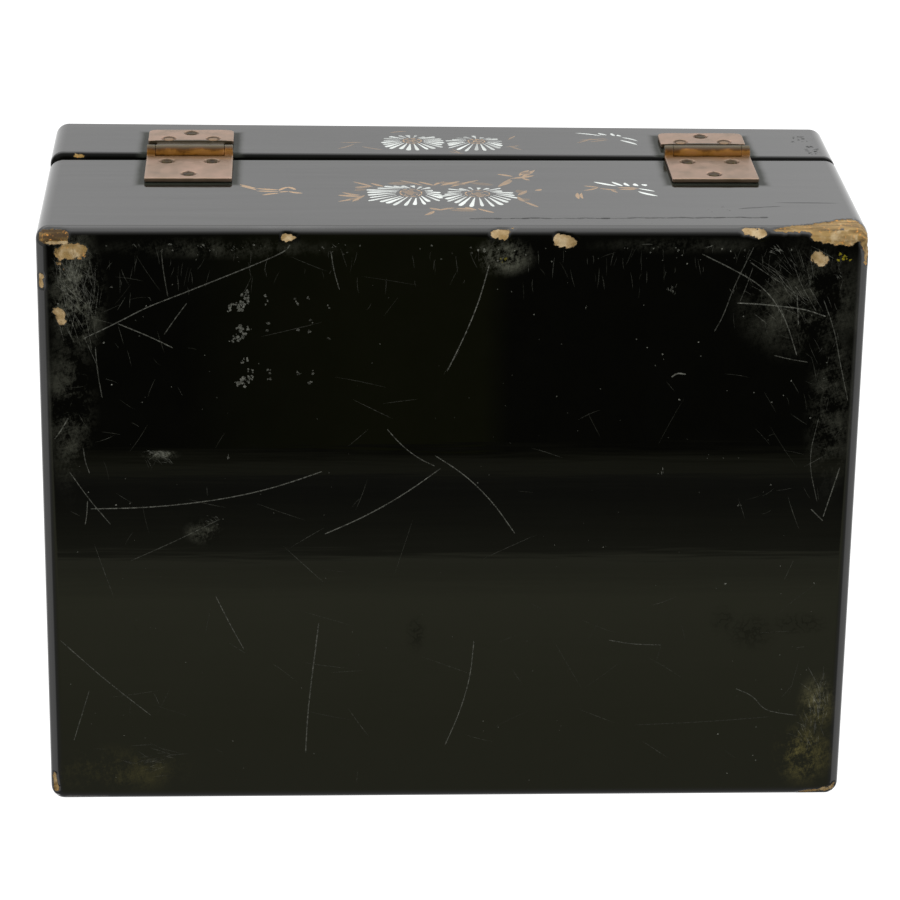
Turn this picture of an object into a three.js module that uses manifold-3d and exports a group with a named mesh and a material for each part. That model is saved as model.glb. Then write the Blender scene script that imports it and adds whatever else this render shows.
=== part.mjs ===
// A black lacquer jewelry box lying as it is used: underside on Z = 0, front towards -Y,
// the two hinges on the back, towards +Y. All lengths are in millimetres.
import * as THREE from 'three';
import { mergeVertices } from 'three/addons/utils/BufferGeometryUtils.js';
import Module from 'manifold-3d';

const wasm = await Module();
wasm.setup();

// Box
const WIDTH = 290;              // along X
const DEPTH = 220;              // along Y
const BASE_HEIGHT = 85;         // underside to the base's rim
const LID_HEIGHT = 43;          // the lid's rim to its top, at its lower end
const LID_GAP = 0.6;            // open line between the base's rim and the lid's rim
const LID_TAPER = 1.5;          // the warped lid is this much taller at +X than at -X
const LID_SKEW = 1.5;           // and stands out this much further over the back at +X
const WALL = 8;                 // side walls of base and lid
const FLOOR = 8;                // bottom board
const LID_TOP = 8;              // top board
const CORNER_R = 6;             // upright corners, seen from above
const EDGE_R = 5;               // worn edges round the underside and the top
const BASE_RIM_R = 2.5;         // worn edge of the base's rim
const LID_RIM_R = 3.5;          // worn edge of the lid's rim
const CAVITY_R = 2.5;           // inside corners

// Hinges
const LEFT_HINGE_INSET = 48.4;  // the box's end at -X to the middle of the hinge there
const RIGHT_HINGE_INSET = 51.4; // the same at +X
const HINGE_WIDTH = 31.5;       // along X
const LEAF_THICK = 1.5;
const BARREL_R = 2.4;
const PIN_R = 0.9;
const BASE_LEAF_LENGTH = 31;    // from the pin's axis down the back
const LID_LEAF_LENGTH = 26.8;   // from the pin's axis up the back
const LID_WEB_LENGTH = 12.2;    // thin part of the lid leaf next to the barrel
const LID_WEB_THICK = 0.7;
const END_KNUCKLE = 3;          // each of the base leaf's two knuckles, along X
const BASE_LEAF_CORNER_R = 1;
const LID_LEAF_CORNER_R = 2.6;
const CLEAR = 0.3;              // free space between neighbouring pieces

// Nails, three in each leaf: a pair near the barrel and one alone further out
const NAIL_HEAD_R = 1.9;
const NAIL_HEAD_THICK = 0.7;
const NAIL_DOME = 0.12;         // rise of the head's middle
const NAIL_SHANK_R = 0.8;
const NAIL_LENGTH = 7;          // head to point
const NAIL_PAIR_SPACING = 16.3;
const BASE_PAIR_AT = 9.3;       // below the pin's axis
const BASE_SINGLE_AT = 25;
const LID_PAIR_AT = 15.2;       // above the pin's axis
const LID_SINGLE_AT = 22.4;
const DIMPLE_DEPTH = 1.1;       // countersink in the leaf
const DIMPLE_RIM_R = 2.9;

// How finely round shapes are drawn
const CORNER_STEPS = 6;
const FILLET_STEPS = 5;
const BARREL_SIDES = 24;
const NAIL_SIDES = 16;
const BORE_SIDES = 12;

// Places worked out from the sizes above
const BACK_Y = DEPTH / 2;
const LID_Z = BASE_HEIGHT + LID_GAP;
const AXIS_Z = BASE_HEIGHT + LID_GAP / 2;
const AXIS_Y = BACK_Y + CLEAR + BARREL_R;
const HINGES = { left: LEFT_HINGE_INSET - WIDTH / 2, right: WIDTH / 2 - RIGHT_HINGE_INSET };

// Materials
const finish = (color, roughness, metalness) =>
  new THREE.MeshStandardMaterial({ color, roughness, metalness });
const lacquer = () => finish(0x0b0d0a, 0.18, 0);
const copper = () => finish(0xa5876e, 0.42, 1);
const nailMetal = () => finish(0x4a3f2c, 0.5, 1);

// Solids
function solid(geometry) {
  geometry.deleteAttribute('normal');
  geometry.deleteAttribute('uv');
  const merged = mergeVertices(geometry, 1e-4);
  return new wasm.Manifold(new wasm.Mesh({
    numProp: 3,
    vertProperties: new Float32Array(merged.attributes.position.array),
    triVerts: new Uint32Array(merged.index.array),
  }));
}

function placed(geometry, x, y, z) {
  geometry.translate(x, y, z);
  return solid(geometry);
}

function box(x0, x1, y0, y1, z0, z1) {
  const geometry = new THREE.BoxGeometry(x1 - x0, y1 - y0, z1 - z0);
  return placed(geometry, (x0 + x1) / 2, (y0 + y1) / 2, (z0 + z1) / 2);
}

function rodAlongX(radius, x0, x1, y, z, sides) {
  const geometry = new THREE.CylinderGeometry(radius, radius, x1 - x0, sides);
  geometry.rotateZ(Math.PI / 2);
  return placed(geometry, (x0 + x1) / 2, y, z);
}

function mesh(name, body, material) {
  const { numProp, vertProperties, triVerts } = body.getMesh();
  const geometry = new THREE.BufferGeometry();
  const positions = new THREE.InterleavedBuffer(vertProperties, numProp);
  geometry.setAttribute('position', new THREE.InterleavedBufferAttribute(positions, 3, 0));
  geometry.setIndex(new THREE.BufferAttribute(triVerts, 1));
  const flat = geometry.toNonIndexed();
  flat.computeVertexNormals();
  const piece = new THREE.Mesh(flat, material);
  piece.name = name;
  return piece;
}

// One ring of a rounded rectangle, anticlockwise seen from above
function ring(halfX, halfY, radius, z) {
  const centres = [[1, 1], [-1, 1], [-1, -1], [1, -1]];
  return centres.flatMap(([sx, sy], quarter) =>
    Array.from({ length: CORNER_STEPS + 1 }, (_, i) => {
      const angle = (quarter + i / CORNER_STEPS) * Math.PI / 2;
      const x = sx * (halfX - radius) + radius * Math.cos(angle);
      const y = sy * (halfY - radius) + radius * Math.sin(angle);
      return [x, y, z];
    }));
}

// A closed solid through rings of equal length, lowest first
function loft(rings) {
  const count = rings[0].length;
  const points = rings.flat();
  const faces = [];
  for (let level = 0; level < rings.length - 1; level++) {
    for (let i = 0; i < count; i++) {
      const a = level * count + i;
      const b = level * count + (i + 1) % count;
      faces.push(a, b, b + count, a, b + count, a + count);
    }
  }
  const top = (rings.length - 1) * count;
  for (let i = 1; i < count - 1; i++) faces.push(0, i + 1, i, top, top + i, top + i + 1);
  const geometry = new THREE.BufferGeometry();
  geometry.setAttribute('position', new THREE.Float32BufferAttribute(points.flat(), 3));
  geometry.setIndex(faces);
  return geometry;
}

// A block with rounded upright corners and its own edge radius below and above
function roundedBlock(width, depth, z0, z1, cornerR, lowR, highR) {
  const level = (inset, z) => ring(width / 2 - inset, depth / 2 - inset, cornerR - inset, z);
  const steps = Array.from({ length: FILLET_STEPS + 1 }, (_, i) => i / FILLET_STEPS * Math.PI / 2);
  const low = steps.map(a => level(lowR * (1 - Math.sin(a)), z0 + lowR * (1 - Math.cos(a))));
  const high = steps.map(a => level(highR * (1 - Math.cos(a)), z1 - highR * (1 - Math.sin(a))));
  return loft([...low, ...high]);
}

function prism(width, depth, z0, z1, cornerR) {
  return loft([ring(width / 2, depth / 2, cornerR, z0), ring(width / 2, depth / 2, cornerR, z1)]);
}

// The lid's warp grows from nothing at -X to its full amount at +X
const warpAt = x => (x + WIDTH / 2) / WIDTH;
const skewAt = x => LID_SKEW * warpAt(x);

function warped(geometry) {
  const p = geometry.attributes.position;
  for (let i = 0; i < p.count; i++) {
    const share = warpAt(p.getX(i));
    const rise = Math.max(0, (p.getZ(i) - LID_Z) / LID_HEIGHT);
    p.setXYZ(i, p.getX(i), p.getY(i) + LID_SKEW * share, p.getZ(i) + LID_TAPER * share * rise);
  }
  return geometry;
}

// Nails: every place as x, the outer face of its leaf, and z
const leafFace = {
  base: () => BACK_Y + CLEAR + LEAF_THICK,
  lid: x => BACK_Y + CLEAR + skewAt(x + HINGE_WIDTH / 2) + LEAF_THICK,
};

function nailPlaces(leaf, hingeX) {
  const up = leaf === 'lid' ? 1 : -1;
  const pairAt = leaf === 'lid' ? LID_PAIR_AT : BASE_PAIR_AT;
  const singleAt = leaf === 'lid' ? LID_SINGLE_AT : BASE_SINGLE_AT;
  const y = leafFace[leaf](hingeX);
  return [
    [hingeX - NAIL_PAIR_SPACING / 2, y, AXIS_Z + up * pairAt],
    [hingeX + NAIL_PAIR_SPACING / 2, y, AXIS_Z + up * pairAt],
    [hingeX, y, AXIS_Z + up * singleAt],
  ];
}

function nail([x, y, z]) {
  const top = -CLEAR / 2;
  const profile = [
    [0, -NAIL_LENGTH], [NAIL_SHANK_R * 0.25, -NAIL_LENGTH], [NAIL_SHANK_R, -NAIL_LENGTH + 1.5],
    [NAIL_SHANK_R, top - NAIL_HEAD_THICK], [NAIL_HEAD_R - 0.3, top - NAIL_HEAD_THICK],
    [NAIL_HEAD_R, top - NAIL_DOME], [NAIL_HEAD_R / 2, top - NAIL_DOME / 4], [0, top],
  ];
  const points = profile.map(([r, h]) => new THREE.Vector2(r, h));
  return placed(new THREE.LatheGeometry(points, NAIL_SIDES), x, y, z);
}

// The countersink and the hole that a nail needs in its leaf
function nailHole([x, y, z]) {
  const headR = NAIL_HEAD_R + CLEAR;
  const shankR = NAIL_SHANK_R + CLEAR;
  const floor = -DIMPLE_DEPTH;
  const profile = [
    [0, -2 * LEAF_THICK], [shankR, -2 * LEAF_THICK], [shankR, floor], [headR, floor],
    [DIMPLE_RIM_R, 0], [DIMPLE_RIM_R + 0.5, 1], [0, 1],
  ];
  const points = profile.map(([r, h]) => new THREE.Vector2(r, h));
  return placed(new THREE.LatheGeometry(points, NAIL_SIDES), x, y, z);
}

// The hole that it needs in the wood behind the leaf
function nailBore([x, y, z]) {
  const depth = NAIL_LENGTH + CLEAR;
  const geometry = new THREE.CylinderGeometry(NAIL_SHANK_R + CLEAR, NAIL_SHANK_R + CLEAR, depth, BORE_SIDES);
  return placed(geometry, x, y - depth / 2, z);
}

const bores = leaf => Object.values(HINGES).flatMap(x => nailPlaces(leaf, x)).map(nailBore);

// Wooden halves
function boxBase() {
  const block = solid(roundedBlock(WIDTH, DEPTH, 0, BASE_HEIGHT, CORNER_R, EDGE_R, BASE_RIM_R));
  const room = solid(prism(WIDTH - 2 * WALL, DEPTH - 2 * WALL, FLOOR, BASE_HEIGHT + WALL, CAVITY_R));
  return bores('base').reduce((body, bore) => body.subtract(bore), block.subtract(room));
}

function boxLid() {
  const top = LID_Z + LID_HEIGHT;
  const block = solid(warped(roundedBlock(WIDTH, DEPTH, LID_Z, top, CORNER_R, LID_RIM_R, EDGE_R)));
  const room = prism(WIDTH - 2 * WALL, DEPTH - 2 * WALL, LID_Z - WALL, top - LID_TOP, CAVITY_R);
  return bores('lid').reduce((body, bore) => body.subtract(bore), block.subtract(solid(warped(room))));
}

// A leaf's outline on the back, with its two far corners rounded, pulled out along Y
function leafPlate(x, y0, y1, near, far, cornerR) {
  const half = HINGE_WIDTH / 2;
  const up = Math.sign(far - near);
  const outline = new THREE.Shape();
  outline.moveTo(-half, near);
  outline.lineTo(-half, far - up * cornerR);
  outline.absarc(-half + cornerR, far - up * cornerR, cornerR, Math.PI, Math.PI - up * Math.PI / 2, up > 0);
  outline.absarc(half - cornerR, far - up * cornerR, cornerR, up * Math.PI / 2, 0, up > 0);
  outline.lineTo(half, near);
  const plate = new THREE.ExtrudeGeometry(outline, { depth: y1 - y0, bevelEnabled: false, curveSegments: 4 });
  plate.rotateX(Math.PI / 2);
  return placed(plate, x, y1, AXIS_Z);
}

function cutForNails(leaf, x, body) {
  return nailPlaces(leaf, x).map(nailHole).reduce((rest, hole) => rest.subtract(hole), body);
}

const pinBore = x => rodAlongX(PIN_R + CLEAR, x - HINGE_WIDTH, x + HINGE_WIDTH, AXIS_Y, AXIS_Z, BORE_SIDES);
const knuckle = (x0, x1) => rodAlongX(BARREL_R, x0, x1, AXIS_Y, AXIS_Z, BARREL_SIDES);

// The base leaf ends in two short knuckles, and is cut back between them for the lid's knuckle
function baseLeaf(x) {
  const face = leafFace.base(x);
  const half = HINGE_WIDTH / 2;
  const middle = half - END_KNUCKLE;
  const plate = leafPlate(x, face - LEAF_THICK, face, 0, -BASE_LEAF_LENGTH, BASE_LEAF_CORNER_R);
  const room = BARREL_R + CLEAR;
  const cut = box(x - middle, x + middle, BACK_Y, AXIS_Y + room, AXIS_Z - room, AXIS_Z + room);
  const body = plate.subtract(cut).add(knuckle(x - half, x - middle)).add(knuckle(x + middle, x + half));
  return cutForNails('base', x, body.subtract(pinBore(x)));
}

// The lid leaf hangs on one long knuckle by a thin web, which is out of sight below the plate
function lidLeaf(x) {
  const face = leafFace.lid(x);
  const back = face - LEAF_THICK;
  const middle = HINGE_WIDTH / 2 - END_KNUCKLE - CLEAR;
  const plate = leafPlate(x, back, face, LID_WEB_LENGTH, LID_LEAF_LENGTH, LID_LEAF_CORNER_R);
  const web = box(x - middle, x + middle, back, back + LID_WEB_THICK, AXIS_Z, AXIS_Z + LID_WEB_LENGTH + 1);
  const body = plate.add(web).add(knuckle(x - middle, x + middle));
  return cutForNails('lid', x, body.subtract(pinBore(x)));
}

const pin = x => rodAlongX(PIN_R, x - HINGE_WIDTH / 2, x + HINGE_WIDTH / 2, AXIS_Y, AXIS_Z, BORE_SIDES);

function hinge(side, x) {
  const group = new THREE.Group();
  group.add(mesh(`hinge_${side}_base_leaf`, baseLeaf(x), copper()));
  group.add(mesh(`hinge_${side}_lid_leaf`, lidLeaf(x), copper()));
  group.add(mesh(`hinge_${side}_pin`, pin(x), copper()));
  for (const leaf of ['base', 'lid']) {
    nailPlaces(leaf, x).forEach((place, i) =>
      group.add(mesh(`hinge_${side}_${leaf}_nail_${i + 1}`, nail(place), nailMetal())));
  }
  return group;
}

const jewelryBox = new THREE.Group();
jewelryBox.add(mesh('box_base', boxBase(), lacquer()));
jewelryBox.add(mesh('box_lid', boxLid(), lacquer()));
for (const [side, x] of Object.entries(HINGES)) jewelryBox.add(hinge(side, x));

export default jewelryBox;
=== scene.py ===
"""The looks of a worn black lacquer jewelry box with two copper hinges on its back.
Sizes are in millimetres in the lists and turned to metres by MM; +Z is up and the hinged back faces +Y."""
import math
import random

import bmesh
import bpy
import numpy as np
from mathutils import Matrix, Vector, noise
from mathutils.geometry import delaunay_2d_cdt


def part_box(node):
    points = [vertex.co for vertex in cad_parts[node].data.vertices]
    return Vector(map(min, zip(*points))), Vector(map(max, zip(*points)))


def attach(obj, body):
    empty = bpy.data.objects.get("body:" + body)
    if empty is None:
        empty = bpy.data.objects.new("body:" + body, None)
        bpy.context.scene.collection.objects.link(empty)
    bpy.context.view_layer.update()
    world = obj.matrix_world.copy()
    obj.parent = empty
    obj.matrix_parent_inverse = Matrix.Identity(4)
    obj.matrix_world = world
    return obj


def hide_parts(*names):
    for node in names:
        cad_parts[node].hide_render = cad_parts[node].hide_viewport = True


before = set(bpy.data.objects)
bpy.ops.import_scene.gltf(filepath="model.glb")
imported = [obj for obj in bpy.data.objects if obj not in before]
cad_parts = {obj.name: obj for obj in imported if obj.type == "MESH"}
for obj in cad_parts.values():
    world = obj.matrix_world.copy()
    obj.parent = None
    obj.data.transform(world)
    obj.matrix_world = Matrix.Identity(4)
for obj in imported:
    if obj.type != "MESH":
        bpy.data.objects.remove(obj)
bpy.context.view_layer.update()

MM = 0.001
SEED = 7

# Sizes of the box, from the frame and from the part's own radii
BASE_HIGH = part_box("box_base")[1]
LID_LOW, LID_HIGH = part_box("box_lid")
HALF_X = BASE_HIGH.x / MM
HALF_Y = BASE_HIGH.y / MM
BASE_TOP = BASE_HIGH.z / MM
LID_RIM = LID_LOW.z / MM
WALL = 8
EDGE_R = 5
BASE_RIM_R = 2.5
LID_RIM_R = 3.5
INNER_R = 2.5
INNER_EDGE_R = 0.8
LID_HEIGHT = 43
LID_TAPER = LID_HIGH.z / MM - LID_RIM - LID_HEIGHT
LID_SKEW = LID_HIGH.y / MM - HALF_Y
AXIS_Z = (BASE_TOP + LID_RIM) / 2


# Colour and node helpers
def colour(hex_text):
    """sRGB hex to the linear RGBA that shaders use."""
    parts = [int(hex_text[i:i + 2], 16) / 255 for i in (1, 3, 5)]
    linear = [c / 12.92 if c <= 0.04045 else ((c + 0.055) / 1.055) ** 2.4 for c in parts]
    return (*linear, 1.0)


# Kinds of node that are named in full, and what makes a Mix node blend two colours
FULL_KINDS = ("Geometry", "Function", "NodeGroup")
BLEND = {"out": 2, "data_type": "RGBA"}


def node(tree, kind, inputs=(), out=0, stops=(), **settings):
    """Adds one node with its settings, values and links, and gives one of its outputs. What a maths node does
    follows its kind. The inputs are a list in the order of the sockets, or go by name or number. A colour
    ramp also has stops: places from 0 to 1, in order, each with a grey or a colour."""
    kind, _, operation = kind.partition(" ")
    made = tree.nodes.new(kind if kind.startswith(FULL_KINDS) else "ShaderNode" + kind)
    if operation:
        made.operation = operation
    for key, value in settings.items():
        setattr(made, key, value)
    for index, (position, value) in enumerate(stops):
        elements = made.color_ramp.elements
        element = elements[index] if index < 2 else elements.new(position)
        element.position = position
        if isinstance(value, (int, float)):
            value = (value, value, value, 1)
        element.color = colour(value) if isinstance(value, str) else value
    for key, value in inputs.items() if isinstance(inputs, dict) else enumerate(inputs):
        if isinstance(value, bpy.types.NodeSocket):
            tree.links.new(value, made.inputs[key])
        else:
            made.inputs[key].default_value = colour(value) if isinstance(value, str) else value
    return made.outputs[out] if made.outputs else made


def per(size):
    """The scale of a pattern whose grains are this many millimetres wide."""
    return 1 / (size * MM)


def material(name):
    made = bpy.data.materials.new(name)
    made.use_nodes = True
    made.node_tree.nodes.clear()
    return made, made.node_tree


# The camera stands below and behind the box, as the photograph's does
CAMERA_AT = (57.65, 486.9, -1178.1)
CAMERA_YAW, CAMERA_PITCH, CAMERA_ROLL = 2.768, 21.256, -0.875
CAMERA_LENS = 143.0
SENSOR = 36.0


def make_camera():
    data = bpy.data.cameras.new("camera")
    data.lens = CAMERA_LENS
    data.sensor_width = SENSOR
    data.clip_end = 50
    camera = bpy.data.objects.new("camera", data)
    facing_up = Matrix(((-1, 0, 0), (0, 1, 0), (0, 0, -1)))
    turn = (Matrix.Rotation(math.radians(CAMERA_ROLL), 3, "Z")
            @ Matrix.Rotation(math.radians(CAMERA_PITCH), 3, "X")
            @ Matrix.Rotation(math.radians(CAMERA_YAW), 3, "Y"))
    camera.matrix_world = Matrix.LocRotScale(Vector(CAMERA_AT) * MM, (turn @ facing_up).transposed(), None)
    bpy.context.scene.collection.objects.link(camera)
    bpy.context.scene.camera = camera


# What the underside mirrors: angle from straight down in degrees, brightness, and how much of it is blue
ROOM = [
    (21.0, 0.013, 1.0), (21.2, 0.013, 1.0), (21.36, 0.06, 0.7), (21.49, 0.12, 0.7), (21.6, 0.145, 0.7),
    (21.73, 0.085, 0.85), (21.95, 0.065, 0.9), (22.3, 0.09, 0.8), (22.6, 0.12, 0.75), (22.9, 0.15, 0.75),
    (23.04, 0.34, 0.72), (23.2, 0.31, 0.7), (23.7, 0.41, 0.68), (25.6, 0.33, 0.66), (27, 0.32, 0.7)]


# Studio: a bright backdrop above, and below the camera's side a dim room that the underside mirrors
def make_world():
    world = bpy.data.worlds.new("studio")
    bpy.context.scene.world = world
    world.use_nodes = True
    tree = world.node_tree
    tree.nodes.clear()
    way = node(tree, "TexCoord", out=0)
    parts = node(tree, "SeparateXYZ", [way]).node.outputs
    up = node(tree, "ValToRGB", [parts[2]],
              stops=[(0.0, 0.85), (0.5, 1.1), (0.94, 1.25), (0.965, 0.88), (1.0, 0.95)])
    down_y = node(tree, "Math MULTIPLY", [parts[1], -1.0])
    down_z = node(tree, "Math MULTIPLY", [parts[2], -1.0])
    angle = node(tree, "Math ARCTAN2", [down_y, down_z])
    near, far = ROOM[0][0], ROOM[-1][0]
    share = node(tree, "MapRange", [angle, math.radians(near), math.radians(far)])
    room_stops = [((degrees - near) / (far - near), (0.98 * glow, glow, blue * glow, 1))
                  for degrees, glow, blue in ROOM]
    room = node(tree, "ValToRGB", [share], stops=room_stops)
    sideways = node(tree, "Math DIVIDE", [parts[0], down_z])
    strip = node(tree, "MapRange", [sideways, -0.1, 0.1])
    doorway = node(tree, "ValToRGB", [strip],
                   stops=[(0.17, 0.0), (0.21, 1.0), (0.4, 1.0), (0.56, 0.6), (0.66, 0.0)])
    unlit = node(tree, "Math LESS_THAN", [share, 0.04])
    lit = node(tree, "Math MULTIPLY", [doorway, unlit])
    room = node(tree, "Mix", {0: lit, 6: room, 7: (0.055, 0.06, 0.022, 1)}, **BLEND)
    aside = node(tree, "Math ABSOLUTE", [parts[0]])
    tilted = node(tree, "Math MULTIPLY_ADD", [aside, 0.6, parts[2]])
    above = node(tree, "MapRange", [tilted, -0.72, -0.1])
    # Before the front the backdrop is darker, with two upright soft lamps that draw a line on each corner
    level = node(tree, "MapRange", [parts[2], 0.3, 0.85])
    behind = node(tree, "MapRange", [parts[1], -0.45, 0.0])
    open_sky = node(tree, "Math MAXIMUM", [level, behind])
    kept = node(tree, "MapRange", [open_sky, 0.0, 1.0, 0.4, 1.0])
    # A broad soft lamp behind the box, which lights up the lower rounded edge under the back
    over = node(tree, "MapRange", [parts[2], -1.0, 1.0])
    over_back = node(tree, "ValToRGB", [over], stops=[(0.2, 0.0), (0.42, 1.0), (0.78, 1.0), (0.92, 0.0)])
    back = node(tree, "MapRange", [parts[1], 0.45, 0.65, 0.0, 1.7])
    soft_lamp = node(tree, "Math MULTIPLY", [over_back, back])
    # Two low lamps at the sides, which draw a light band along the lower side edges
    low_side = node(tree, "ValToRGB", [over], stops=[(0.2, 0.0), (0.28, 1.0), (0.5, 0.8), (0.75, 0.0)])
    wide = node(tree, "MapRange", [aside, 0.5, 0.7, 0.0, 1.15])
    level_y = node(tree, "Math COMPARE", [parts[1], -0.36, 0.17])
    side_lamp = node(tree, "Math MULTIPLY", [low_side, wide])
    side_glow = node(tree, "Math MULTIPLY_ADD", [side_lamp, level_y, soft_lamp])
    ahead = node(tree, "Math MAXIMUM", [down_y, 0.01])
    bearing = node(tree, "Math DIVIDE", [aside, ahead])
    lamps = node(tree, "ValToRGB", [bearing], stops=[(0.36, 0.0), (0.42, 1.0), (0.62, 1.0), (0.68, 0.0)])
    raised = node(tree, "ValToRGB", [parts[2]], stops=[(0.0, 0.0), (0.06, 1.0), (0.6, 1.0), (0.75, 0.0)])
    lamp_glow = node(tree, "Math MULTIPLY", [lamps, raised])
    front_glow = node(tree, "Math MULTIPLY_ADD", [lamp_glow, 1.6, kept])
    glow = node(tree, "Math ADD", [front_glow, side_glow])
    sky = node(tree, "Mix", {0: 1.0, 6: up, 7: glow}, blend_type="MULTIPLY", **BLEND)
    around = node(tree, "Mix", {0: above, 6: room, 7: sky}, **BLEND)
    path = node(tree, "LightPath", out=0)
    seen = node(tree, "Mix", {0: path, 6: around, 7: (1.2, 1.2, 1.2, 1)}, **BLEND)
    background = node(tree, "Background", {"Color": seen, "Strength": 1.0})
    node(tree, "OutputWorld", {"Surface": background})


# Lamps: where each stands and points, its two sides in metres, and its power in watts
LAMPS = [
    ("lamp_left_of_camera", (1.1, 0.35, -0.9), (0, 0, 0), (0.9, 0.9), 11),
    ("lamp_right_of_camera", (-1.1, 0.35, -0.9), (0, 0, 0), (0.9, 0.9), 11),
    ("lamp_above_front", (-0.7, -1.1, 1.5), (0, 0, 0.06), (1.2, 1.2), 28)]


def make_light(name, at, towards, size, watts):
    data = bpy.data.lights.new(name, "AREA")
    data.shape = "RECTANGLE"
    data.size, data.size_y = size
    data.energy = watts
    lamp = bpy.data.objects.new(name, data)
    direction = Vector(towards) - Vector(at)
    lamp.matrix_world = Matrix.LocRotScale(Vector(at), direction.to_track_quat("-Z", "Y"), None)
    lamp.visible_camera = False
    lamp.visible_glossy = False
    bpy.context.scene.collection.objects.link(lamp)


FLOOR_HALF = 4.0
FLOOR_LEVEL = 0.2 * MM


def make_floor():
    """Pale, and seen from above only, so that it never comes between the camera and the underside."""
    mesh = bpy.data.meshes.new("floor")
    corners = [(x * FLOOR_HALF, y * FLOOR_HALF, FLOOR_LEVEL) for x, y in ((-1, -1), (1, -1), (1, 1), (-1, 1))]
    mesh.from_pydata(corners, [], [(0, 1, 2, 3)])
    floor = bpy.data.objects.new("floor", mesh)
    bpy.context.scene.collection.objects.link(floor)
    made, tree = material("floor_paper")
    back = node(tree, "NewGeometry", out=6)
    paper = node(tree, "BsdfDiffuse", {"Color": "#dcdbd6"})
    clear = node(tree, "BsdfTransparent")
    either = node(tree, "MixShader", [back, paper, clear])
    node(tree, "OutputMaterial", {"Surface": either})
    mesh.materials.append(made)
    floor.visible_diffuse = False
    floor.visible_glossy = False
    floor.visible_transmission = False
    floor.visible_shadow = False


# Outlines in millimetres
def spread(half, step, ends, end_step):
    """Places along a straight side from -half to half, closer together near its ends."""
    places = [half]
    while places[-1] > 0:
        near = half - places[-1] < ends
        places.append(places[-1] - (end_step if near else step))
    places = [p for p in places if p > step / 3]
    shares = {round(p / half, 6) for p in places[1:]}
    return sorted(shares | {-share for share in shares} | {0.0})


class Outline:
    """Rounded rectangles of one topology: each side has its own list of places, each corner an arc."""

    def __init__(self, right, back, left, front, corner_steps=8):
        self.sides = [back, left, front, right]
        self.corner_steps = corner_steps

    def ring(self, inset, radius, z):
        hx, hy = HALF_X - inset, HALF_Y - inset
        points = []
        centres = [(1, 1), (-1, 1), (-1, -1), (1, -1)]
        for quarter, (sx, sy) in enumerate(centres):
            for i in range(self.corner_steps + 1):
                a = (quarter + i / self.corner_steps) * math.pi / 2
                points.append((sx * (hx - radius) + radius * math.cos(a),
                               sy * (hy - radius) + radius * math.sin(a), z))
            fx, fy = hx - radius, hy - radius
            for u in self.sides[quarter]:
                along = [(-u * fx, hy, z), (-hx, -u * fy, z), (u * fx, -hy, z), (hx, u * fy, z)]
                points.append(along[quarter])
        return points

    def back_run(self):
        """The indices of a ring from one end of the back's straight side to the other."""
        start = self.corner_steps
        return range(start, start + len(self.sides[0]) + 2)


def arc(inset0, z0, radius, start, stop, steps):
    """Levels of a fillet, from angle start to stop in degrees about (inset0, z0)."""
    for i in range(steps + 1):
        a = math.radians(start + (stop - start) * i / steps)
        yield inset0 - radius * math.cos(a), z0 + radius * math.sin(a)


# Marks: closed outlines on a flat face, with what they are
def stroke(start, end, width, bow=0.0, blunt=0.35, steps=7):
    """A brush stroke or scratch: a thin leaf shape from start to end, bent sideways by bow."""
    a, b = Vector(start), Vector(end)
    along = b - a
    side = Vector((-along.y, along.x)).normalized()
    left, right = [], []
    for i in range(steps + 1):
        t = i / steps
        middle = a + along * t + side * bow * 4 * t * (1 - t)
        half = width / 2 * (blunt + (1 - blunt) * math.sin(math.pi * t))
        if i in (0, steps):
            half *= 0.25
        left.append(middle + side * half)
        right.append(middle - side * half)
    return [tuple(p) for p in left + right[::-1]]


def trail(points, width):
    """A scratch along several points, thin at both ends."""
    path = [Vector(p) for p in points]
    for _ in range(2 if len(path) > 2 else 0):
        cut = [a.lerp(b, share) for a, b in zip(path, path[1:]) for share in (0.25, 0.75)]
        path = [path[0]] + cut + [path[-1]]
    left, right = [], []
    for i, p in enumerate(path):
        along = path[min(i + 1, len(path) - 1)] - path[max(i - 1, 0)]
        side = Vector((-along.y, along.x)).normalized()
        half = width / 2 * (0.25 if i in (0, len(path) - 1) else 1.0)
        left.append(p + side * half)
        right.append(p - side * half)
    return [tuple(p) for p in left + right[::-1]]


def petal(inner, outer, width):
    """Narrow where the brush was lifted at the flower's middle, and round at its outer end."""
    a, b = Vector(inner), Vector(outer)
    along = b - a
    side = Vector((-along.y, along.x)).normalized()
    profile = [(0.0, 0.18), (0.35, 0.5), (0.7, 0.88), (0.88, 1.0), (0.97, 0.72), (1.0, 0.3)]
    left = [a + along * t + side * width / 2 * w for t, w in profile]
    right = [a + along * t - side * width / 2 * w for t, w in profile]
    return [tuple(p) for p in left + right[::-1]]


def blob(centre, radius, rng, sides=7):
    """An irregular fleck with this many corners."""
    turn = rng.uniform(0, math.tau)
    reach = [radius * rng.uniform(0.35, 1.3) for _ in range(sides)]
    angles = [turn + math.tau * i / sides for i in range(sides)]
    return [(centre[0] + r * math.cos(a), centre[1] + r * math.sin(a)) for a, r in zip(angles, reach)]


# What a mark is, as the number that the lacquer reads from its faces, and how far off that number may be
WHITE, GOLD, SCRATCH, DARK, YELLOW = 1.0, 2.0, 3.0, 4.0, 5.0
KIND_WINDOW = 0.4


def scatter(corners, count, size, kind, rng, strength=0.7):
    """Small irregular specks between two corners."""
    (x0, z0), (x1, z1) = corners
    return [(blob((rng.uniform(x0, x1), rng.uniform(z0, z1)), size * rng.uniform(0.3, 1), rng),
             kind, strength * rng.uniform(0.5, 1)) for _ in range(count)]


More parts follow.
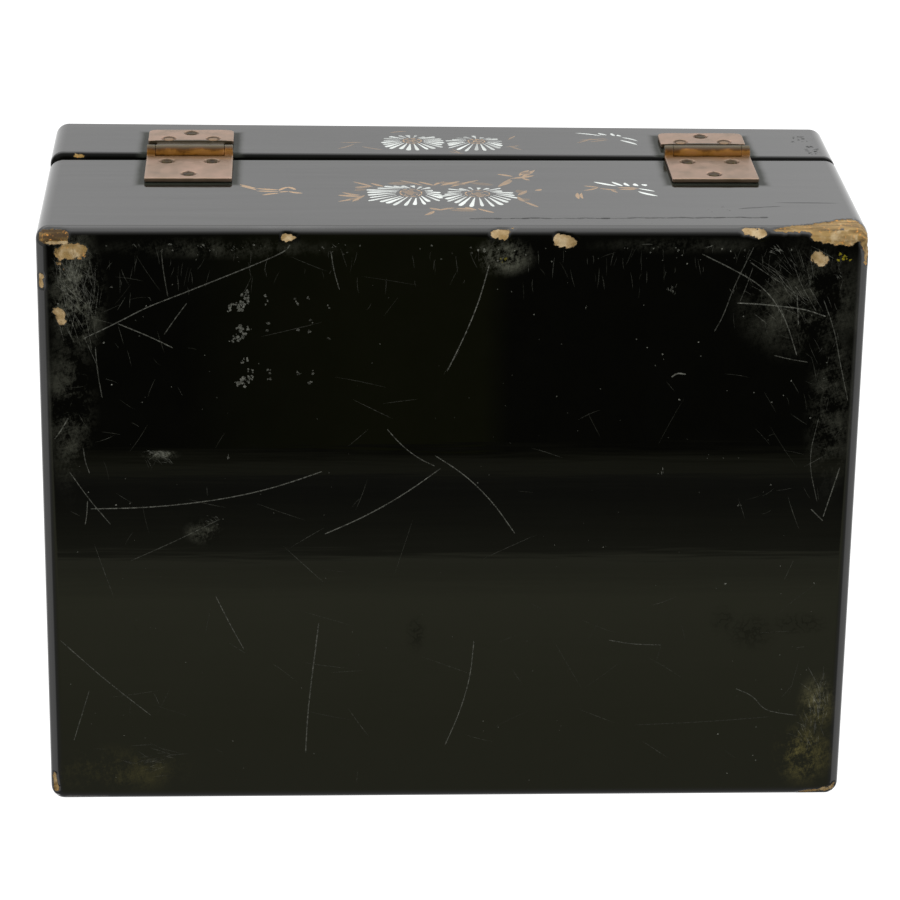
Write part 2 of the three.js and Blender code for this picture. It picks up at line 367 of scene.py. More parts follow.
def flower(middle, eye, centre, reach, petals, rng, worn=0.0):
    """A chrysanthemum: white petals round a gold eye, which sits above the flower's middle."""
    marks = []
    for i in range(petals):
        a = math.tau * (i + rng.uniform(-0.12, 0.12)) / petals
        c, s = math.cos(a), math.sin(a)
        near = rng.uniform(1.15, 1.5)
        inner = (middle[0] + near * eye[0] * c, middle[1] + near * 0.95 * eye[1] * s)
        far = rng.uniform(0.84, 1.05)
        outer = (centre[0] + far * reach[0] * c, centre[1] + far * reach[1] * s)
        marks.append((petal(inner, outer, rng.uniform(1.1, 1.9)), WHITE,
                      rng.uniform(0.8, 1.0) - worn * rng.random() - 0.2 * max(0.0, s)))
    marks.append((blob(middle, 0.75 * min(eye), rng, 9), GOLD, 0.3))
    for i in range(9):
        a = math.tau * i / 9
        start = (middle[0] + eye[0] * math.cos(a), middle[1] + eye[1] * math.sin(a))
        b = a + 0.62
        end = (middle[0] + eye[0] * math.cos(b), middle[1] + eye[1] * math.sin(b))
        marks.append((stroke(start, end, 0.55), GOLD, 0.8))
    for i in range(7):
        spot = (middle[0] + rng.uniform(-0.6, 0.6) * eye[0], middle[1] + rng.uniform(-0.6, 0.6) * eye[1])
        marks.append((blob(spot, 0.4, rng, 5), GOLD, 0.7))
    return marks


def strokes(pairs, kind, width, strength, rng, bow=0.5):
    return [(stroke(a, b, width * rng.uniform(0.8, 1.25), rng.uniform(-bow, bow)), kind, strength)
            for a, b in pairs]


# Painted leaves, buds and half flowers on the back, as (x, z) pairs of stroke ends
BASE_LEAVES = [
    ((40, 32), (31.5, 38)), ((40, 39.5), (32, 38)), ((38.5, 43), (32, 39.5)), ((35, 32), (30.5, 39.5)),
    ((34.5, 56), (27.5, 50)), ((34, 49), (28, 50)), ((28, 54), (23.5, 50)), ((17.5, 57.5), (9.5, 51.5)),
    ((11, 56), (5.5, 51.5)), ((5.5, 51.5), (1.5, 56)), ((-0.5, 50), (-11, 58)), ((3, 51.5), (-4, 56.5)),
    ((-17.5, 49.5), (-22.5, 59.5)), ((-22.5, 60), (-31.5, 64)), ((-18, 65.5), (-23.5, 62.5)),
    ((-26, 63.5), (-30, 70.5)), ((-27, 62.5), (-32, 70.5)), ((-27, 61), (-29.5, 58)),
    ((-19, 51.5), (-23, 58)), ((-24, 39.5), (-27.5, 45.5)), ((-26, 32), (-30.5, 25.5)),
    ((-24, 38), (-26, 32)), ((-30.5, 45.5), (-33, 47)), ((10, 16), (6.5, 21)), ((8, 24.5), (3.5, 22)),
    ((4.5, 22), (-1, 24.5)), ((-1, 24), (-7, 23)), ((-9, 24), (-14.5, 19)), ((-4.5, 25.5), (-8.5, 22))]
SPRIG = [
    ((75, 52.5), (69, 47.5)), ((75, 50.5), (69, 45.5)), ((69, 47.5), (61, 46)), ((69, 44.5), (61, 44)),
    ((61, 45), (57.5, 49.5)), ((58, 49.5), (55, 46)), ((61, 43), (57.5, 44)), ((67, 39.5), (61, 42)),
    ((57.5, 44), (52.5, 42))]
HALF_FLOWER = [
    ((-60.5, 51), (-52.5, 56)), ((-62.5, 51), (-59, 56)), ((-65, 51), (-63.5, 55)), ((-68, 51), (-67, 54)),
    ((-71, 51), (-69.5, 53)), ((-68, 48), (-73.5, 44.5)), ((-67.5, 44.5), (-74, 39))]
HALF_FLOWER_LEAVES = [
    ((-48.5, 51), (-54, 49)), ((-48, 45.5), (-53.5, 49)), ((-54, 48), (-60, 46)), ((-58, 46), (-60, 43)),
    ((-60.5, 49), (-68, 48)), ((-61, 47), (-67, 47)), ((-45.5, 42.5), (-45.5, 35.5)),
    ((-47, 42.5), (-47, 35.5))]
LID_HALF_FLOWER = [
    ((-60, 113.5), (-50.5, 117)), ((-62, 114.5), (-59, 117)), ((-65, 113.5), (-64, 117)),
    ((-67.5, 113), (-66, 115)), ((-67.5, 111.5), (-73, 107)), ((-66.5, 108), (-72.5, 102))]
LID_LEAVES = [
    ((-50, 104), (-56, 110)), ((-51, 107.5), (-61.5, 110)), ((-55, 105.5), (-62, 108.5)),
    ((39.5, 94), (33, 100.5)), ((38.5, 102.5), (30, 103)), ((30.5, 97.5), (23, 93.5)),
    ((-1.5, 92), (-7, 89.5)), ((-3, 94.5), (-5.5, 90)), ((-23, 98), (-28.5, 100.5)),
    ((-24.5, 99.5), (-29, 94.5)), ((-24.5, 107.5), (-27.5, 112.5)), ((19.5, 115.5), (13, 117.5))]


def base_back_marks():
    rng = random.Random(SEED)
    marks = flower((-9.7, 41.5), (4.5, 3.8), (-9.6, 38), (14.2, 12), 23, rng)
    marks += flower((14, 42.5), (4, 4.6), (16.8, 39.5), (14.4, 13), 24, rng)
    marks += strokes(BASE_LEAVES, GOLD, 1.6, 0.55, rng)
    marks += strokes(SPRIG, GOLD, 1.2, 0.7, rng)
    faint = [((4, 55), (-6, 52.5)), ((-8, 55), (-16, 52)), ((22, 54), (14, 54)), ((34, 45), (30, 47)),
             ((36, 36), (33, 33)), ((-27, 42), (-24, 46)), ((-28, 35), (-24, 34)), ((1, 22), (-8, 21)),
             ((-27, 66), (-30, 68))]
    marks += strokes(faint, GOLD, 3.0, 0.22, rng)
    marks += strokes(HALF_FLOWER, WHITE, 1.4, 1.0, rng)
    marks += strokes(HALF_FLOWER_LEAVES, GOLD, 1.2, 0.6, rng)
    marks += strokes([((-101, 23.6), (-110, 25)), ((-108, 25.4), (-117, 26.8)), ((-115, 30.9), (-138, 30.4))],
                     DARK, 0.6, 0.9, rng)
    x = -6.0
    level = 12.1
    while x > -109:
        step = rng.uniform(1.5, 5)
        ahead = 12.1 + (-6 - x) * 0.017 + rng.uniform(-0.5, 0.5)
        marks.append((stroke((x + 0.6, level), (x - step, ahead), rng.uniform(0.6, 1.7), 0.1, 0.7), DARK,
                      rng.uniform(0.4, 0.8)))
        x -= step
        level = ahead
    marks += scatter(((-90, 20), (-98, 26)), 7, 0.5, DARK, rng)
    return marks


def lid_back_marks():
    rng = random.Random(SEED + 1)
    marks = flower((-12.5, 105), (3.2, 2.8), (-11.6, 102), (11.6, 10), 20, rng, 0.45)
    marks += flower((11.5, 105), (3.5, 3), (11.2, 102.5), (12.6, 10), 22, rng, 0.35)
    marks += strokes(LID_HALF_FLOWER, WHITE, 1.2, 0.8, rng)
    marks += strokes(LID_LEAVES, GOLD, 0.8, 0.35, rng)
    marks += scatter(((-131, 106), (-137, 114.5)), 16, 0.9, DARK, rng, 0.9)
    marks += scatter(((-134.5, 91.5), (-139.5, 102)), 22, 0.9, DARK, rng, 0.9)
    return marks


# Scratches that can be told apart on the underside: their points as (x, y), width and strength
UNDERSIDE_SCRATCHES = [
    ([(129, 70), (117, 76), (107, 81.5), (97, 85.5), (79, 93), (59, 101.5), (57, 104.5)], 0.35, 0.42),
    ([(117, 75.5), (105.5, 70.5), (98, 66.5)], 0.35, 0.5), ([(101, 71.5), (97, 77.5), (93, 83)], 0.3, 0.3),
    ([(128, 6), (113, 6.2), (99, 7.2), (85, 9), (74.5, 11), (64.5, 13.5), (55.5, 16.5), (46, 20)], 0.35, 0.5),
    ([(101.5, 102), (101, 95), (99.5, 85.5)], 0.3, 0.25),
    ([(140, 32.5), (137.5, 36), (135, 40.5)], 0.35, 0.45), ([(135, 20), (128, 9), (121, 0)], 0.3, 0.35),
    ([(130, 29), (129.5, 24), (128, 19.5)], 0.3, 0.3), ([(125, 67), (124.5, 58), (123, 48)], 0.3, 0.3),
    ([(129, 9), (129.3, 4), (130, 0)], 0.3, 0.35), ([(45, -4), (31, 2.5), (17, 11), (4, 21)], 0.35, 0.5),
    ([(6, 26), (-5, 18.5), (-15, 8), (-23, -4)], 0.3, 0.5),
    ([(-12, 97), (-8.5, 83), (-3.5, 70), (2, 58)], 0.35, 0.5),
    ([(23, 36), (18, 30), (12, 25), (6, 22)], 0.3, 0.4),
    ([(-9, -46), (-8, -60), (-4.5, -74), (1, -88)], 0.3, 0.4),
    ([(84, -28), (79, -39), (74, -49)], 0.3, 0.35), ([(140, -45), (124, -61), (108, -75)], 0.3, 0.35),
    ([(-58, -46), (-67, -47.7), (-77, -48)], 0.3, 0.35),
    ([(-105, -65.6), (-111.5, -68.5), (-115.5, -74), (-121, -75.5), (-128, -76.5)], 0.28, 0.32),
    ([(43, 102), (42, 95), (40, 88)], 0.3, 0.35),
    ([(-86, 101), (-95, 96.5), (-104, 91.5), (-109, 87.5), (-113, 82.5), (-117, 75.5), (-121, 63.5)], 0.35,
     0.42),
    ([(-104, 103.5), (-100, 94.5), (-97, 87), (-94.5, 78.5), (-91.5, 72.5)], 0.3, 0.25),
    ([(-99, 83), (-108.5, 82.5), (-121, 81), (-125, 80), (-130.5, 78)], 0.4, 0.5),
    ([(-103, 98), (-108, 94.5), (-114, 90.5)], 0.3, 0.3),
    ([(-120, 86), (-120.5, 80), (-121, 75)], 0.4, 0.35),
    ([(-129.5, 84), (-134, 72.5), (-136.5, 60.5), (-140, 46.5)], 0.3, 0.28),
    ([(-113, 63.5), (-119, 62), (-125, 61)], 0.3, 0.3),
    ([(-138.5, 21), (-136, 11.5), (-133.5, 2)], 0.35, 0.35),
    ([(-129, 5), (-131.5, 2.5), (-133.5, 0.5)], 0.35, 0.35),
    ([(-77, 55.5), (-79, 57), (-82, 56.5)], 0.5, 0.6), ([(-100, 83.5), (-102, 89), (-104, 96)], 0.25, 0.2),
    ([(130, -65), (133, -75), (136, -85)], 0.3, 0.25), ([(-112, 95), (-117, 88), (-124, 84)], 0.25, 0.3),
    ([(-118, 98), (-121, 90), (-127, 80)], 0.25, 0.22), ([(-130, 40), (-127, 24), (-131, 8)], 0.25, 0.25),
    ([(114, -14), (98, -6.5), (82, 2)], 0.25, 0.22),
    ([(47, -38.4), (48.6, -52), (50.3, -67), (51.3, -79), (51.8, -90.5)], 0.4, 0.36),
    ([(-68.5, -80), (-93.6, -79), (-118, -77)], 0.22, 0.12), ([(-125.4, -64.6), (-122, -69.3)], 0.25, 0.3),
    ([(-132.8, -85), (-132.3, -88.6)], 0.4, 0.4), ([(-126.5, -49.3), (-129.4, -49)], 0.4, 0.35),
    ([(-123.6, -15), (-120.8, -22.2)], 0.3, 0.3), ([(-102, -90.5), (-106, -93.6)], 0.25, 0.25)]
# Scuffs: middles as (x, y), half lengths, lean, how many strokes and strength
SCUFFS = [
    ((102, 27), (6, 1.0), -0.08, 34, 0.5), ((102, 23), (6, 2.5), 0.5, 12, 0.22),
    ((-113, 102), (3.4, 1.2), 0.55, 16, 0.55), ((-135, 92.5), (1.6, 1.2), 0.8, 9, 0.5),
    ((-75.7, 87), (1.6, 2.4), 1.1, 12, 0.5), ((-97, 87), (1.2, 1.6), 1.2, 6, 0.35),
    ((-74.6, 19), (1.5, 1.8), 1.4, 8, 0.6), ((-103.4, 6.3), (0.8, 1.3), 1.1, 5, 0.6),
    ((79, 25.4), (1.0, 2.0), 1.2, 6, 0.4), ((98, 104.5), (1.5, 0.8), 0.4, 8, 0.6),
    ((118, 105.4), (0.8, 0.7), 0.4, 5, 0.7), ((87.5, 104), (2.2, 1.4), 1.0, 10, 0.45),
    ((76, 102.8), (1.4, 1.0), 0.8, 7, 0.5), ((41, 103.8), (1.2, 0.8), 0.8, 5, 0.5),
    ((111, 103.8), (2.5, 1.0), 1.0, 8, 0.3), ((-136, -72), (4, 12), 1.45, 40, 0.3),
    ((-133, -84), (5, 9), 1.3, 26, 0.25), ((104, -93), (14, 5), 0.1, 24, 0.16),
    ((-46.5, 81.3), (0.6, 0.7), 0.6, 3, 0.7), ((131, 84), (8, 22), 1.2, 110, 0.3),
    ((-120, 86), (16, 15), 0.9, 46, 0.22), ((83.6, 1.3), (3, 2), 0.3, 12, 0.3),
    ((-70, 105), (6, 0.8), 0.1, 9, 0.35), ((-90, 105), (5, 1.0), 0.2, 10, 0.4)]
# What is left of a label: three groups of small pale spots in each of three rows
RESIDUE = [
    [(73, 86.5), (72.5, 84), (75, 83), (77, 82), (78.5, 81), (74.5, 81), (73.5, 82.5), (72.2, 85.2)],
    [(71.5, 74), (75, 73.5), (73, 71.5), (74.5, 70), (77.5, 69.5), (73.8, 72.6), (76.2, 70.6), (74.2, 74.2)],
    [(73, 62), (71, 58), (71, 55.5), (73.5, 55.5), (73.5, 53), (76, 53), (74.8, 54), (72, 54.4)]]
RESIDUE_SPOTS = [
    (65.4, 86), (65.4, 83), (55.3, 84), (54.6, 82.5), (50.4, 84.6), (43.6, 81.5), (65, 75), (65, 73.4),
    (54.8, 73.7), (49.8, 76), (50.3, 73), (43.5, 70), (64.5, 57.8), (64.7, 55.3), (54, 57.4), (49.6, 57.5),
    (50.2, 53.5)]
UNDERSIDE_SPOTS = [
    (-113, 46), (-117, 48.5), (-106.5, 49.5), (-77.5, 102), (-81, 97.5), (-101.5, 78), (-73.5, 64),
    (-52, 51), (-80, 47), (-119.5, 54), (-68, 66.5), (-114, 14.5), (-86, 68.5), (-96, 102), (107, 82),
    (119, 89), (137.5, 83), (119.5, 53), (122, 68.5), (124.5, 107), (119, 7.5), (-127, 40), (-131, 55),
    (-99.2, -83.8), (-112.5, -92.6), (-130.5, -58.2), (-134, -70.2), (-99.5, -24), (-131.6, -23.8),
    (-119, -17)]


# How many of the finest marks there are on the top and the underside, which are strewn at random
TOP_RUBS = 60
HAIRLINES = 300
SPECKS = 170
EDGE_SPECKS = 60


def top_marks():
    """A few fine rubs; the top isn't in the photograph."""
    rng = random.Random(SEED + 3)
    marks = []
    for _ in range(TOP_RUBS):
        x, y, a = rng.uniform(-125, 125), rng.uniform(-90, 90), rng.uniform(0, math.tau)
        length = rng.uniform(3, 14)
        end = (x + length * math.cos(a), y + length * math.sin(a))
        marks.append((stroke((x, y), end, rng.uniform(0.1, 0.2), 0.5, 0.5, 4), SCRATCH,
                      rng.uniform(0.05, 0.2)))
    return marks


def underside_marks():
    rng = random.Random(SEED + 2)
    marks = [(trail(points, width), SCRATCH, strength) for points, width, strength in UNDERSIDE_SCRATCHES]
    for middle, half, lean, count, strength in SCUFFS:
        for _ in range(count):
            x, y = [rng.gauss(c, 0.45 * h) for c, h in zip(middle, half)]
            length, a = max(half) * rng.uniform(0.25, 0.7), rng.gauss(lean, 0.3)
            end = (x + length * math.cos(a), y + length * math.sin(a))
            if max(abs(x), abs(end[0])) < 139.5 and max(abs(y), abs(end[1])) < 104.8:
                marks.append((stroke((x, y), end, rng.uniform(0.12, 0.3), 0.1, 0.5, 3), SCRATCH,
                              strength * rng.uniform(0.5, 1.2)))
    for x, y in [spot for group in RESIDUE for spot in group]:
        marks += scatter(((x - 1.0, y - 1.0), (x + 1.0, y + 1.0)), 5, 0.75, SCRATCH, rng, 0.75)
    for x, y in RESIDUE_SPOTS:
        marks += scatter(((x - 0.6, y - 0.8), (x + 0.6, y + 0.8)), 3, 0.6, SCRATCH, rng, 0.55)
    marks += [(blob(spot, rng.uniform(0.25, 0.45), rng, 5), SCRATCH, rng.uniform(0.6, 0.95))
              for spot in UNDERSIDE_SPOTS if abs(spot[1]) < 104.5]
    marks += scatter(((-133.5, 98.5), (-139, 101.5)), 9, 0.6, YELLOW, rng, 0.9)
    marks += scatter(((-14, 97), (-20, 100)), 4, 0.5, YELLOW, rng, 0.5)
    for _ in range(HAIRLINES):
        place = rng.random()
        if place < 0.35:
            x, y = rng.choice((-1, 1)) * rng.triangular(95, 138, 136), rng.triangular(-20, 104, 95)
            length, a = rng.uniform(2, 10), rng.gauss(1.1, 0.7)
        elif place < 0.72:
            x, y = rng.uniform(-136, 136), rng.triangular(88, 104, 104)
            length, a = rng.uniform(1.5, 8), rng.gauss(-math.pi / 2, 0.25)
        else:
            x, y = rng.uniform(-136, 136), rng.uniform(-103, 103)
            length, a = rng.uniform(3, 22), rng.uniform(0, math.tau)
        end = (x + length * math.cos(a), y + length * math.sin(a))
        if abs(end[0]) < 139 and abs(end[1]) < 104:
            marks.append((stroke((x, y), end, rng.uniform(0.1, 0.2), rng.uniform(-0.3, 0.3), 0.5, 4),
                          SCRATCH, rng.uniform(0.06, 0.24)))
    for _ in range(SPECKS):
        spot = (rng.uniform(-138, 138), rng.uniform(-103, 103))
        marks.append((blob(spot, rng.uniform(0.12, 0.3), rng, 5), SCRATCH, rng.uniform(0.15, 0.6)))
    for _ in range(EDGE_SPECKS):
        spot = (rng.uniform(-120, 130), rng.triangular(96, 104.4, 104))
        marks.append((blob(spot, rng.uniform(0.15, 0.5), rng, 5), SCRATCH, rng.uniform(0.2, 0.7)))
    return marks


# Chips: from and to points, the radius at each, and how much pale ground (1) rather than brown wood (0) shows
BASE_CHIPS = [
    ((135.5, 107.6, 0.7), (142, 107.4, 1.2), 2.3, 2.5, -0.4),
    ((129.8, 101.9, 0), (135.8, 101.6, 0), 2.7, 2.6, 0.42),
    ((141.5, 104.7, 0.1), (134, 104.9, 0), 0.6, 0.5, 0.9),
    ((137.6, 97.5, 0), (136.4, 97.3, 0), 0.6, 0.5, 0.5),
    ((135.1, 95.5, 0), (135.1, 95.3, 0), 0.5, 0.5, 0.6),
    ((143.6, 92.3, 1.2), (143.8, 88.8, 1.6), 1.4, 1.3, 0.5),
    ((137.3, 79.9, 0), (136.5, 76.2, 0), 1.9, 1.6, 0.95),
    ((56.9, 106.9, 0.3), (58.8, 106.9, 0.3), 1.6, 1.6, 0.6),
    ((-13.8, 108.2, 1), (-17.2, 107.8, 0.8), 1.7, 1.9, 0.6),
    ((-17.8, 109.2, 2), (-20.5, 109.8, 3.2), 0.5, 0.35, 1.0),
    ((-36.3, 105.9, 0.3), (-39.6, 105.2, 0.1), 2.2, 2.4, 0.95),
    ((-101.6, 109, 2), (-106.6, 108.3, 1.2), 1.7, 1.9, 1.0),
    ((-111, 110, 1.6), (-124, 110, 3.6), 1.3, 2.4, 0.12),
    ((-124, 110, 3.6), (-138, 109.6, 8), 2.8, 4.6, 0.1),
    ((-138, 108.6, 6), (-143.6, 105, 4), 4.6, 4.5, 0.1),
    ((-125.8, 107.4, 0.6), (-138, 106.8, 0.5), 2.2, 2.8, 0.3),
    ((-144.6, 105, 4), (-144.2, 97.2, 1.8), 3.2, 1.0, 0.3),
    ((-126.4, 99.9, 0), (-128.2, 98.7, 0), 2.4, 2.3, 1.0),
    ((143.9, -99.5, 1.6), (143.2, -105, 1.4), 1.2, 1.4, 0.2),
    ((141, -108.3, 1), (124, -108.8, 1.2), 0.5, 0.4, 0.3),
    ((-142.5, -106, 1.4), (-131, -108.7, 1.3), 1.5, 0.9, 0.3),
    ((-144, 92, 84), (-143.5, 98, 84), 1.2, 1.6, 0.1)]
LID_CHIPS = [
    ((133, 109.2, 86.6), (135.5, 109.2, 86.8), 0.9, 1.0, 0.15),
    ((-144, 104, 128), (-143, 109, 127), 1.8, 2.2, 0.2),
    ((144, -104, 129.5), (143, -109, 129), 1.8, 2.6, 0.3),
    ((58, -109.8, 86.8), (62, -109.8, 86.6), 1.4, 1.2, 0.6),
    ((-92, -108.5, 127.4), (-88, -109, 127.2), 1.5, 1.3, 0.7)]
# How deep the chips are, and how fine the faces round them
CHIP_DEPTH = 0.5
CHIP_GRID = 0.45
CHIP_RAGGED = 0.55


def chip_values(points, chips):
    """For each point: how deep inside the nearest chip it is, in mm, less than 0 outside, and how pale."""
    inside = np.full(len(points), -9.0)
    pale = np.zeros(len(points))
    for index, (start, end, start_r, end_r, paleness) in enumerate(chips):
        start, along = np.array(start), np.array(end) - np.array(start)
        share = np.clip((points - start) @ along / max(along @ along, 1e-9), 0, 1)
        size = start_r + (end_r - start_r) * share
        away = np.linalg.norm(points - start - share[:, None] * along, axis=1)
        for i in np.nonzero(away < 2 * size + 1)[0]:
            p = Vector(points[i]) * (1.3 / min(size[i], 2.5)) + Vector((index * 7.3, 0, 0))
            flake = noise.noise(noise.voronoi(p * 1.2)[1][0] * 5.3)
            ragged = (0.6 * noise.fractal(p, 0.9, 2.2, 3) + 0.9 * flake) * CHIP_RAGGED * min(size[i], 1.8)
            value = size[i] - away[i] + ragged
            if value > inside[i]:
                inside[i] = value
                pale[i] = paleness
    return inside, pale


def flat_panel(corners, extra, marks):
    """Triangles of a flat outline with marks let into it. Gives points, faces and each face's mark."""
    points, faces = [], []
    for outline in [corners] + [mark[0] for mark in marks]:
        area = sum(a[0] * b[1] - a[1] * b[0] for a, b in zip(outline, outline[1:] + outline[:1]))
        faces.append(list(range(len(points), len(points) + len(outline))))
        points.extend(Vector(p) for p in (outline if area > 0 else outline[::-1]))
    points.extend(Vector(p) for p in extra)
    found, _, triangles, _, _, owners = delaunay_2d_cdt(points, [], faces, 1, 1e-4, True)
    kinds = []
    for owner in owners:
        inner = [marks[i - 1] for i in owner if i > 0]
        kinds.append(inner[-1][1:] if inner else (0.0, 0.0))
    return [tuple(p) for p in found], triangles, kinds


class Body:
    """Gathers the strips and panels of one wooden half."""

    def __init__(self):
        self.points, self.faces, self.marks = [], [], []

    def add(self, points, faces, marks=None):
        start = len(self.points)
        self.points.extend(points)
        self.faces.extend([[start + i for i in face] for face in faces])
        self.marks.extend(marks or [(0.0, 0.0)] * len(faces))

    def loft(self, rings, skip=None):
        """skip(level, i) leaves a quad out where a panel takes its place."""
        count = len(rings[0])
        faces = [(k * count + i, k * count + (i + 1) % count,
                  (k + 1) * count + (i + 1) % count, (k + 1) * count + i)
                 for k in range(len(rings) - 1) for i in range(count) if not (skip and skip(k, i))]
        self.add([p for ring in rings for p in ring], faces)

    def level_panel(self, ring, marks=(), extra=()):
        z = ring[0][2]
        outline = [ring[0][:2]]
        for p in ring[1:]:
            if (Vector(p[:2]) - Vector(outline[-1])).length > 1e-4:
                outline.append(p[:2])
        if (Vector(outline[0]) - Vector(outline[-1])).length < 1e-4:
            outline.pop()
        points, faces, kinds = flat_panel(outline, extra, list(marks))
        self.add([(x, y, z) for x, y in points], faces, kinds)

    def back_panel(self, rings, run, marks, extra=()):
        y = rings[0][run[0]][1]
        low = [rings[0][i] for i in run]
        high = [rings[-1][i] for i in run]
        last = [ring[run[-1]] for ring in rings[1:-1]]
        first = [ring[run[0]] for ring in rings[1:-1]]
        outline = low + last + high[::-1] + first[::-1]
        points, faces, kinds = flat_panel([(p[0], p[2]) for p in outline], extra, marks)
        self.add([(x, y, z) for x, z in points], faces, kinds)


def grid(x0, x1, y0, y1, step):
    nx, ny = max(2, round((x1 - x0) / step)), max(2, round((y1 - y0) / step))
    return [(x0 + (x1 - x0) * (i + 0.5) / nx, y0 + (y1 - y0) * (j + 0.5) / ny)
            for i in range(nx) for j in range(ny)]


def near_chips(chips, step, axes, limits, flat):
    """Grid points on a flat face round each chip that reaches it."""
    found = []
    third = 3 - axes[0] - axes[1]
    for start, end, start_r, end_r, _ in chips:
        reach = 1.6 * max(start_r, end_r) + 0.6
        if min(abs(start[third] - flat), abs(end[third] - flat)) > reach:
            continue
        low = [max(min(start[a], end[a]) - reach, -lim) for a, lim in zip(axes, limits[0])]
        high = [min(max(start[a], end[a]) + reach, lim) for a, lim in zip(axes, limits[1])]
        if low[0] < high[0] and low[1] < high[1]:
            found += grid(low[0], high[0], low[1], high[1], step)
    return found


def finish_body(name, body, chips, warp=None):
    """Merges the strips, cuts the chips in, warps and hands over the mesh with its attributes."""
    points = np.array(body.points, float)
    inside, pale = chip_values(points, chips)
    bm = bmesh.new()
    chip_layer = bm.verts.layers.float.new("chip")
    pale_layer = bm.verts.layers.float.new("pale")
    kind_layer = bm.faces.layers.float.new("mark")
    strength_layer = bm.faces.layers.float.new("strength")
    made = []
    for p, value, paleness in zip(points, inside, pale):
        vert = bm.verts.new(p)
        vert[chip_layer] = value
        vert[pale_layer] = paleness
        made.append(vert)
    for face, (kind, strength) in zip(body.faces, body.marks):
        if len(set(face)) > 2:
            new = bm.faces.new([made[i] for i in face])
            new[kind_layer] = kind
            new[strength_layer] = strength
            new.smooth = True
    bmesh.ops.remove_doubles(bm, verts=bm.verts, dist=2e-4)
    bmesh.ops.dissolve_degenerate(bm, edges=bm.edges, dist=1e-5)
    bmesh.ops.delete(bm, geom=[v for v in bm.verts if not v.link_faces], context="VERTS")
    bmesh.ops.recalc_face_normals(bm, faces=bm.faces)
    bm.normal_update()
    bm.verts.index_update()
    flat_normals = {}
    for vert in bm.verts:
        if vert[chip_layer] < -0.2:
            for face in vert.link_faces:
                if max(abs(c) for c in face.normal) > 0.99999 and min(
                        f.normal.dot(face.normal) for f in vert.link_faces) > 0.9:
                    flat_normals[vert.index] = face.normal.copy()
    for vert in bm.verts:
        depth = min(1.0, max(0.0, (vert[chip_layer] + 0.15) / 0.6)) * CHIP_DEPTH
        if depth:
            rough = 0.16 * noise.noise(vert.co * 0.9)
            vert.co -= vert.normal * max(0.02, depth + rough)
    if warp:
        for vert in bm.verts:
            vert.co = warp(vert.co)
    for vert in bm.verts:
        vert.co *= MM
    mesh = bpy.data.meshes.new(name)
    bm.to_mesh(mesh)
    bm.free()
    return mesh, flat_normals


# How far apart the points are along the edges
BACK_EDGE_STEP = 0.8
SIDES = Outline(
    right=spread(HALF_Y, 6.0, 24, 0.9), back=spread(HALF_X, BACK_EDGE_STEP, 10, BACK_EDGE_STEP),
    left=spread(HALF_Y, 6.0, 24, 0.9), front=spread(HALF_X, 5.0, 24, 1.0))


def plain_object(name, mesh, body, slot, replaced, *materials):
    """replaced: the names of the CAD parts that this piece stands for."""
    made = bpy.data.objects.new(name, mesh)
    bpy.context.scene.collection.objects.link(made)
    for one in materials:
        mesh.materials.append(one)
    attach(made, body)
    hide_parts(*replaced)
    return made


def make_base(lacquer):
    body = Body()
    ring = SIDES.ring
    low = [ring(i, EDGE_R - i, z) for i, z in arc(EDGE_R, EDGE_R, EDGE_R, -90, 0, 8)]
    wall_z = [5.8, 6.6, 7.4, 8.4, 9.6, 11, 13, 16, 20, 26, 34, 44, 54, 64, 72, 77, 80, 81.5]
    wall = [ring(0, EDGE_R, z) for z in wall_z]
    rim = [ring(i, EDGE_R - i, z) for i, z in arc(BASE_RIM_R, BASE_TOP - BASE_RIM_R, BASE_RIM_R, 0, 90, 5)]
    inner = [ring(i, INNER_R, z) for i, z in
             arc(WALL - INNER_EDGE_R, BASE_TOP - INNER_EDGE_R, -INNER_EDGE_R, 270, 180, 3)]
    down = [ring(WALL, INNER_R, z) for z in (60, 30, WALL + 1.5)]
    foot = [ring(WALL + 0.5, INNER_R - 0.5, WALL + 0.5), ring(WALL + 1.5, INNER_R - 1.5, WALL)]
    rings = low + wall + rim + inner + down + foot
    first, last = len(low) - 1, len(low) + len(wall)
    run = SIDES.back_run()
    body.loft(rings, lambda k, i: first <= k < last and i in run[:-1])
    flat_x, flat_y = HALF_X - EDGE_R, HALF_Y - EDGE_R
    extra = near_chips(BASE_CHIPS, CHIP_GRID, (0, 1), ((flat_x, flat_y), (flat_x, flat_y)), 0)
    body.level_panel(rings[0], underside_marks(), extra)
    extra = near_chips(BASE_CHIPS, CHIP_GRID, (0, 2), ((flat_x, -EDGE_R), (flat_x, BASE_TOP - 3)), HALF_Y)
    body.back_panel(rings[first:last + 1], run, base_back_marks(), extra)
    body.level_panel(rings[-1])
    mesh, flats = finish_body("lacquered_base", body, BASE_CHIPS)
    return plain_object("lacquered_base", mesh, "base", "lacquer", ["box_base"], lacquer), flats


def lid_warp(p):
    share = (p.x + HALF_X) / (2 * HALF_X)
    rise = max(0.0, (p.z - LID_RIM) / LID_HEIGHT)
    return Vector((p.x, p.y + LID_SKEW * share, p.z + LID_TAPER * share * rise))


